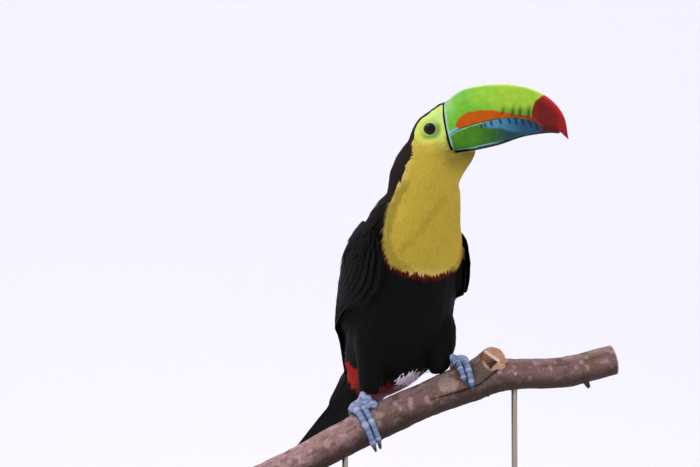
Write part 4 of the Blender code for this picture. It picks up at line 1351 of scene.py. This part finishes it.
FOOT_BLUE, FOOT_DARK, FOOT_PALE = srgb(126, 146, 184), srgb(30, 44, 70), srgb(206, 218, 238)
HORN_PALE, HORN_DARK = srgb(66, 74, 84), srgb(20, 22, 26)
CLAW_LENGTH = {1: 0.0050, -1: 0.0125}
TOE_START, TOE_RINGS, CLAW_RINGS = -0.16, 104, 26
SCUTE = 0.0026  # length of a toe's scale
PAD_VOXEL, PAD_RELAX, SHANK_RADIUS = 0.0007, 8, 0.0047
RIGHT_LUMPS = (  # swellings of the right foot's pad: place from its middle, and radius
    ((0.0140, -0.003, 0.0024), 0.0042), ((0.0085, -0.002, 0.0058), 0.0054),
    ((0.0066, -0.004, 0.0010), 0.0048), ((0.0004, -0.003, 0.0016), 0.0048),
)


def branch_frame(at):
    here = between(BRANCH, at)
    axis = unit(between(BRANCH, at + 0.05)[..., :3] - between(BRANCH, at - 0.05)[..., :3])
    above = unit(UP - axis * dot(axis, UP))
    return here[..., :3], axis, above, np.cross(axis, above), here[..., 3]


def foot_frame(side):
    row, slant, _ = FEET[side]
    centre, axis, above, front, radius = branch_frame(float(row))
    level, rise = np.cos(np.radians(slant)), np.sin(np.radians(slant))
    return centre, axis * level - above * rise, above * level + axis * rise, front, radius


def toe_place(foot, ahead, offset, angle, clearance):
    """Places round the branch under a toe's centre line, and the directions outward there."""
    centre, axis, above, front, radius = foot
    out = np.cos(angle)[:, None] * above + np.sin(angle)[:, None] * ahead * front
    return centre + np.outer(offset, axis) + out * (radius + clearance)[:, None], out


def tube(line, first, second, radius, sides=20):
    """Rings round a line, between two directions, and their angles."""
    turn, radius = turns(sides), radius[..., None, None]
    points = (line[:, None] + np.cos(turn)[None, :, None] * first[:, None] * radius
              + np.sin(turn)[None, :, None] * second[:, None] * radius)
    return points, turn


def make_toe(side, number):
    ahead, offset, first, radius = TOES[number]
    foot = foot_frame(side)
    share = np.linspace(TOE_START if ahead > 0 else -0.05, 1, TOE_RINGS)
    angle = np.radians(first + (FEET[side][2][number] - first) * share)
    joints = np.maximum(np.cos((share - 0.10) * 5.4 * np.pi), 0) ** 5
    size = radius * (1.03 + 0.07 * joints - 0.24 * share.clip(0, 1))
    size = size * mix(0.75, 1, step(TOE_START, 0.05, share))
    splay = side * offset * np.interp(share, (TOE_START, 0.0, 0.4, 1.0), (0.60, 0.92, 0.96, 0.80))
    line, out = toe_place(foot, ahead, splay, angle, np.full(len(share), radius * 1.12 + 0.0008))
    points, turn = tube(line, out, plain(foot[1], len(share)), size)
    length = (foot[4] + 0.004) * abs(angle[-1] - angle[0])
    scute = (np.abs(np.sin(share * length / SCUTE * np.pi / 2)) ** 0.3)[:, None]
    upper = step(-0.2, 0.4, np.cos(turn))
    groove = np.exp(-((np.cos(turn) - 0.25) / 0.16) ** 2)
    points = points - (points - line[:, None]) * (0.07 * (1 - scute) * upper + 0.06 * groove)[..., None]
    ends = (1 - np.sqrt(np.clip(1 - ((share - 0.94) / 0.065).clip(0, 1) ** 2, 0.1, 1)))[:, None, None]
    points = mix(points, line[:, None], ends)
    streak = cloud(points, 0.0030, 15)
    crown = step(0.80, 0.98, np.cos(turn)) * scute
    colour = painted(
        FOOT_BLUE,
        # Painted shade on the half of the toe that faces the branch; dark lines between the scales and along
        # the groove.
        (FOOT_DARK, 0.75 * (1 - scute) * upper + 0.75 * groove + 1.0 * (1 - upper) + 0.30 * streak),
        # Painted highlights: pale at the joints and along the top of each scale.
        (FOOT_PALE, joints[:, None] * upper * 0.55 + crown * 0.25 * streak),
        (FOOT_DARK, 0.6 * step(0.80, 1.0, share)[:, None]),
    )
    return *rings_part(points, ahead < 0), colour.reshape(-1, 3)


def make_claw(side, number):
    """A claw from inside the toe's end to its tip."""
    ahead, offset, _, radius = TOES[number]
    foot = foot_frame(side)
    share = np.linspace(-0.12, 1, CLAW_RINGS)
    angle = np.radians(FEET[side][2][number]) + 0.0004 / foot[4]
    angle = angle + share * CLAW_LENGTH[side] / (foot[4] + 0.004)
    lift = radius * 1.12 + 0.0008 + 0.0022 * np.sin(share * np.pi)
    splay = side * offset * 0.80 * (1 - 0.25 * share.clip(0, 1))
    line, out = toe_place(foot, ahead, splay, angle, lift)
    size = 0.0023 * (1 - share.clip(0, 1)) ** 0.8 + 0.0003
    points, _ = tube(line, out, plain(foot[1], CLAW_RINGS) * 0.8, size, 14)
    shade = np.linspace(0, 1, CLAW_RINGS)[:, None, None] + 0 * points[..., :1]
    return *rings_part(points, ahead < 0), mix(HORN_PALE, HORN_DARK, shade).reshape(-1, 3)


def make_pad(side):
    """The foot's pad and shank melted into one wrinkled surface."""
    foot, ankle = foot_frame(side), LEGS[side][3, :3]
    centre, out = toe_place(foot, 1, np.zeros(1), np.array([PAD_ANGLE]), np.array([PAD_LIFT]))
    centre, out, across = centre[0], out[0], foot[1]
    lumps = [(centre + out * 0.0006, np.array(PAD_HALVES) * (1.0 if side < 0 else 0.86) + 0.0005)]
    if side < 0:
        lumps += [(centre + shift, np.full(3, radius)) for shift, radius in RIGHT_LUMPS]
    count = 12
    shank, _ = tube(mix(centre, ankle, np.linspace(0, 1, count)[:, None]), plain(across, count),
                    plain(unit(np.cross(ankle - centre, across)), count), np.full(count, SHANK_RADIUS))
    axes = across, out, np.cross(across, out)
    balls = [ball(place, axes, halves, 16, 24) for place, halves in lumps]
    points, normals, faces = one_surface([*balls, rings_part(shank)], PAD_VOXEL, PAD_RELAX)
    wrinkle = 0.6 * noise(points * (0.7, 1, 1.3), 0.0030, 5) + 0.5 * noise(points, 0.0014, 6)
    colour = painted(
        mix(FOOT_BLUE, FOOT_PALE, 0.25 + 0.25 * noise(points, 0.004, 3)[:, None]),
        # painted shade in the hollows of the wrinkles
        (FOOT_DARK, np.clip(0.12 - 0.9 * wrinkle, 0, 0.7)),
    )
    return points + normals * (wrinkle * 0.0006 + 0.0004)[:, None], [faces], colour


def make_feet():
    for side, name in SIDES.items():
        toes = [make_toe(side, number) for number in TOES]
        made = make_tinted(f"foot_skin_{name}", [*toes, make_pad(side)], "foot", "foot_blue")
        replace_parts(made, f"foot_{name}")
        claws = [make_claw(side, number) for number in TOES]
        made = make_tinted(f"claws_{name}", claws, "claw", "claw")
        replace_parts(made, *(f"claw_{name}_{number}" for number in TOES))


# ---- perch and stand ----

BRANCH_RINGS, BRANCH_LENGTH = 240, 0.39
PERCH_VOXEL = 0.0011
RING_PITCH = 5200  # of the wood's rings, in radians for a metre
NUBS = (  # stumps of twigs on the branch: root, end and radius
    ((0.0560, -0.004, 0.1690), (0.0578, -0.0070, 0.1632), 0.0011),
    ((0.1560, 0.020, 0.1800), (0.1595, 0.0165, 0.1722), 0.0030),
)
CUT_HALVES = 0.0176, 0.0134  # of the stub's oval cut
# Seen from the front, across and up: the long crack along the branch, the corner of the notch in
# the stub's cut and the directions into it, two pale spots with their radii, and patches of the
# bark with their half sizes.
CRACK = np.array(((0.000, 0.1605), (0.027, 0.1680), (0.049, 0.1760), (0.0645, 0.1885), (0.0770, 0.1975)))
NOTCH, FROM_RIDGE, FROM_STRIP = (0.0674, 0.1986), (-0.553, -0.833), (-0.735, 0.678)
SPOTS = ((0.0811, 0.1902), 0.0014), ((0.0853, 0.1878), 0.0018)
BARE, KNOT = ((0.0175, 0.176), (0.0105, 0.0085)), ((0.0290, 0.1825), (0.0046, 0.0050))
LICHEN = (0.046, 0.184), (0.016, 0.013)
# The stand's base from its foot to its top: distance inside the rim, and height.
BASE_PROFILE = (
    (0.003, 0.0), (0.0012, 0.0004), (0.0004, 0.0016), (0, 0.004), (0, 0.0138), (0.0004, 0.0155),
    (0.0014, 0.0169), (0.0029, 0.0177), (0.005, 0.018), (0.0075, 0.0180), (0.0080, 0.0177),
    (0.0088, 0.0177), (0.0093, 0.0180), (0.03, 0.0180), (0.08, 0.0180),
)


def oval(points, middle, halves):
    return np.linalg.norm((points - middle) / halves, axis=1)


def stub_rings():
    axis = unit(STUB_END - STUB_START)
    side = unit(np.cross(axis, UP))
    turn = turns(40)
    ripple = 1 + 0.05 * np.cos(turn * 3 + 0.6) + 0.03 * np.cos(turn * 5)
    ring = np.outer(np.cos(turn), np.cross(side, axis)) + np.outer(np.sin(turn), side)
    ring = ring * (STUB_RADIUS * ripple)[:, None]
    rings = [mix(STUB_START, STUB_END, share) + ring for share in np.linspace(0, 1, 24)]
    rings[-1] = rings[-1] + np.outer(((STUB_END - rings[-1]) @ STUB_CUT) / (axis @ STUB_CUT), axis)
    inner = ((rings[-2] - rings[-1]) @ axis) > -0.0005
    rings[-2][inner] = rings[-1][inner] - axis * 0.0005
    return np.array(rings)


def nub_rings(start, end, thick):
    count = 8
    way = np.subtract(end, start)
    first = unit(np.cross(way, UP))
    second, radii = np.cross(first, unit(way)), np.linspace(1.3, 0.8, count) * thick
    return tube(np.linspace(start, end, count), plain(first, count), plain(second, count), radii, 14)[0]


def perch_surface():
    centre, _, above, front, radius = branch_frame(np.linspace(0, 10, BRANCH_RINGS))
    branch, _ = tube(centre, above, front, radius, 48)
    solids = [branch, stub_rings(), *(nub_rings(*nub) for nub in NUBS)]
    return one_surface([rings_part(rings) for rings in solids], PERCH_VOXEL)


def bark_places(points):
    """Directions out of the branch, places along its grain, which points lie on the stub's cut and
    on any cut, and the middle of each point's cut."""
    line, axes, *_ = branch_frame(np.linspace(0, 10, BRANCH_RINGS))
    x = points[:, 0]
    here = np.stack([np.interp(x, line[:, 0], line[:, k]) for k in range(3)], axis=-1)
    out = unit(points - here)
    run = np.interp(x, line[:, 0], np.arange(BRANCH_RINGS)) / BRANCH_RINGS * BRANCH_LENGTH
    grain = np.stack([run * 0.35, out[:, 1] * 0.017, out[:, 2] * 0.017], axis=-1)
    slope = unit(STUB_END - STUB_START)
    slope = unit(slope - STUB_CUT * dot(slope, STUB_CUT))
    off = points - STUB_END
    wide = np.hypot(off @ slope / CUT_HALVES[0], off @ np.cross(STUB_CUT, slope) / CUT_HALVES[1])
    stub_cut = (np.abs(off @ STUB_CUT) < 0.0011) & (wide < 1)
    low_end, high_end = (np.abs((points - line[k]) @ axes[k]) < 0.0012 for k in (0, -1))
    middle = np.where(stub_cut[:, None], STUB_END, np.where(low_end[:, None], line[0], line[-1]))
    return out, grain, stub_cut, stub_cut | low_end | high_end, middle


def carve(points, normals, out, grain, cut):
    """Points with bark, crack and notch; the crack's share, the notch's depth and its two distances."""
    relief = 0.0006 * noise(grain, 0.0045, 1) + 0.0003 * noise(grain, 0.0018, 2)
    relief = relief + 0.0005 * noise(points, 0.012, 3)
    relief = np.where(cut, 0.00015 * noise(points, 0.002, 4), relief)
    crack = far_from_line(points[:, [0, 2]], CRACK) + 0.0005 * noise(points, 0.004, 12)
    crack = np.where(out[:, 1] < 0.2, step(0.0014, 0.0002, crack), 0)
    points = points + normals * (relief - 0.0011 * crack * ~cut)[:, None]
    from_ridge, from_strip = ((points[:, [0, 2]] - NOTCH) @ way for way in (FROM_RIDGE, FROM_STRIP))
    off = points - STUB_END
    near = (np.linalg.norm(off, axis=1) < 0.0150) & (out[:, 1] < 0.3) & (np.abs(off @ STUB_CUT) < 0.0045)
    notch = np.clip(np.minimum(from_ridge, from_strip), 0, 0.0045) * near
    return points - np.outer(notch * 0.85, STUB_CUT), crack, notch, from_ridge, from_strip


def bark_colour(points, out, grain, fleck, side_on, crack):
    patch, streak, front = noise(points, 0.017, 5), noise(grain, 0.003, 7), out[:, 1] < 0
    return painted(
        srgb(160, 122, 120) * mix(0.74, 1.15, step(-0.035, -0.09, points[:, :1])),
        (srgb(124, 100, 74), step(0.0, 0.6, patch) * 0.8),
        (srgb(104, 72, 70), step(0.0, 0.6, streak) * 0.65),
        (srgb(190, 166, 160), step(0.25, 0.6, fleck) * 0.6),
        # painted light: paler along the top of the branch
        (srgb(192, 160, 158), step(0.55, 0.95, out[:, 2]) * 0.45),
        (srgb(84, 74, 46), step(0.25, 0.7, noise(points, 0.009, 9)) * 0.6),
        # painted shade: dark along the underside of the branch
        (srgb(64, 50, 38), step(0.10, -0.75, out[:, 2] + 0.15 * patch) * 0.95),
        (srgb(172, 152, 136), step(1.1, 0.8, oval(side_on, *BARE)) * front * 0.85),
        (srgb(150, 84, 46), step(1.2, 0.7, oval(side_on, *KNOT)) * front * 0.9),
        (srgb(104, 92, 78), step(1.2, 0.8, oval(side_on, *LICHEN)) * 0.8),
        (srgb(24, 18, 15), crack * 0.95),
    )


def cut_colour(points, middle, fleck, stub_cut, from_ridge, from_strip):
    rings = 0.5 + 0.5 * np.sin(np.linalg.norm(points - middle, axis=1) * RING_PITCH + 2 * fleck)
    # A painted highlight along the ridge between the cut and the notch.
    ridge = step(0.0022, 0.0008, np.abs(from_ridge + 0.0010)) * (from_strip > -0.0010)
    return painted(
        mix(srgb(214, 180, 158), srgb(176, 138, 112), rings[:, None] * 0.6),
        (srgb(196, 126, 84), (0.5 + 0.5 * fleck) * stub_cut * 0.9),
        (srgb(240, 228, 208), ridge * stub_cut * 0.9),
    )


def make_perch():
    points, normals, faces = perch_surface()
    out, grain, stub_cut, cut, middle = bark_places(points)
    points, crack, notch, from_ridge, from_strip = carve(points, normals, out, grain, cut)
    fleck = noise(points, 0.0052, 6)
    shift = np.stack([noise(points, 0.005, seed) for seed in (13, 14)], axis=-1)
    side_on = points[:, [0, 2]] + 0.0022 * shift
    colour = bark_colour(points, out, grain, fleck, side_on, crack)
    wood = cut_colour(points, middle, fleck, stub_cut, from_ridge, from_strip)
    colour = np.where(cut[:, None], wood, colour)
    # Painted shade: the notch's facet is turned from the light, warm brown that darkens to near black towards
    # one of its edges.
    notch_shaded_wood = mix(srgb(158, 104, 68), srgb(62, 46, 34), step(0.011, 0.001, from_strip)[:, None])
    colour = np.where((notch > 0.0002)[:, None], notch_shaded_wood * (1 + 0.15 * fleck[:, None]), colour)
    for spot, radius in SPOTS:
        share = step(radius, radius * 0.5, oval(side_on, spot, 1)) * (out[:, 1] < 0)
        colour = painted(colour, (srgb(206, 192, 184), share * 0.9))
    made = make_piece("perch_bark", points, [faces], "bark", "bark", colour)
    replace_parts(made, "perch")


def upright(rows, x=0, y=0):
    """An upright solid from rows of half width, half depth and height."""
    turn = turns(160)
    return rings_part(np.array([
        np.stack([x + wide * np.cos(turn), y + deep * np.sin(turn), 0 * turn + height], axis=-1)
        for wide, deep, height in rows
    ]))


def make_stand():
    base = upright([(0.140 - inset, 0.100 - inset, height) for inset, height in BASE_PROFILE])
    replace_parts(make_piece("stand_base_wood", *base, "wood", "stand_wood", sharp=50), "stand_base")
    for name in SIDES.values():
        low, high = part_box(f"stand_rod_{name}")
        x, y = (low.x + high.x) / 2, (low.y + high.y) / 2
        parts = [
            upright([(r * 0.9, r * 0.9, bottom), (r, r, bottom + 0.0003), (r, r, top - 0.0004),
                     (r * 0.93, r * 0.93, top)], x, y)
            for r, bottom, top in ((0.003, low.z, high.z), (0.0065, 0.0178, 0.0200))
        ]
        made = make_piece(f"stand_rod_steel_{name}", *join(parts), "metal", "stand_metal", sharp=40)
        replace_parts(made, f"stand_rod_{name}")


# ---- floor, camera and light ----

SWEEP_START, SWEEP_RADIUS, SWEEP_HALF = 2.2, 1.6, 6
BEYOND = 40  # half the size of the far floor
LENS, FILM = 133.714, 36
AIM, RISE, AWAY = (-0.080, 0, 0.3265), np.radians(-4), 2.6
LAMPS = (  # name, place, what it is aimed at, size and power
    ("key", (-1.4, -0.5, 2.4), (0, 0, 0.3), 1.0, 22),
    ("rim", (0.5, 1.3, 1.9), (0, 0, 0.3), 1.6, 10),
    ("backdrop_left", (-1.5, 1.6, 2.6), (-1.2, 3.8, 1.0), 2.0, 9),
    ("backdrop_right", (1.5, 1.6, 2.6), (1.2, 3.8, 1.0), 2.0, 9),
)

def make_floor():
    """A sweep that curves up behind the bird, and a plane to the horizon for other views."""
    curve = [(-4.0, 0.0), (SWEEP_START, 0.0)]
    curve += [(SWEEP_START + SWEEP_RADIUS * np.sin(a), SWEEP_RADIUS * (1 - np.cos(a)))
              for a in np.radians(np.arange(6, 91, 6))]
    curve += [(SWEEP_START + SWEEP_RADIUS, 6.0)]
    points = np.array([(x, y, z) for y, z in curve for x in (-SWEEP_HALF, SWEEP_HALF)])
    quads = np.array([(2 * i, 2 * i + 1, 2 * i + 3, 2 * i + 2) for i in range(len(curve) - 1)])
    make_piece("floor_sweep", points, [quads], "floor")
    corners = np.array([(x * BEYOND, y * BEYOND, -0.0005) for x, y in ((-1, -1), (1, -1), (1, 1), (-1, 1))])
    make_piece("floor_beyond", corners, [np.arange(4)[None]], "floor")


def set_up(name, data, place, aim):
    """A camera or a lamp at a place, turned to what it is aimed at."""
    made = bpy.data.objects.new(name, data)
    bpy.context.scene.collection.objects.link(made)
    made.location = place
    made.rotation_euler = (Vector(aim) - Vector(place)).to_track_quat("-Z", "Y").to_euler()
    return made


def make_camera():
    camera = bpy.data.cameras.new("camera")
    camera.lens, camera.sensor_width, camera.clip_start = LENS, FILM, 0.1
    place = Vector(AIM) + Vector((0, -np.cos(RISE), np.sin(RISE))) * AWAY
    bpy.context.scene.camera = set_up("camera", camera, place, AIM)


def make_lamps():
    for name, place, aim, size, power in LAMPS:
        lamp = bpy.data.lights.new(name, "AREA")
        lamp.energy, lamp.size = power, size
        set_up(name, lamp, place, aim)


def make_sky():
    """A pale sky that grows a little brighter with height."""
    world = bpy.data.worlds.new("sky")
    bpy.context.scene.world = world
    world.use_nodes = True
    nodes, links = world.node_tree.nodes, world.node_tree.links
    place, parts, rise = (nodes.new(f"ShaderNode{kind}") for kind in ("TexCoord", "SeparateXYZ", "MapRange"))
    set_range(rise, -0.1, 0.7, 0.80, 0.92)
    links.new(place.outputs["Generated"], parts.inputs["Vector"])
    links.new(parts.outputs["Z"], rise.inputs["Value"])
    nodes["Background"].inputs["Color"].default_value = (0.95, 0.94, 1.0, 1)
    links.new(rise.outputs["Result"], nodes["Background"].inputs["Strength"])
    bpy.context.scene.view_settings.view_transform = "Standard"


make_body_coat()
make_head_coat()
make_thigh_coats()
make_wisps()
make_wings()
make_scapulars()
make_tail()
make_tail_coverts()
make_eyes()
make_mandible("bill_upper_horn", CULMEN, 2.4, 7, True, "bill_upper", "bill_green")
make_mandible("bill_lower_horn", GONYS, 3.0, 6.2, False, "bill_lower", "bill_blue")
make_band()
make_feet()
make_perch()
make_stand()
make_floor()
make_camera()
make_lamps()
make_sky()
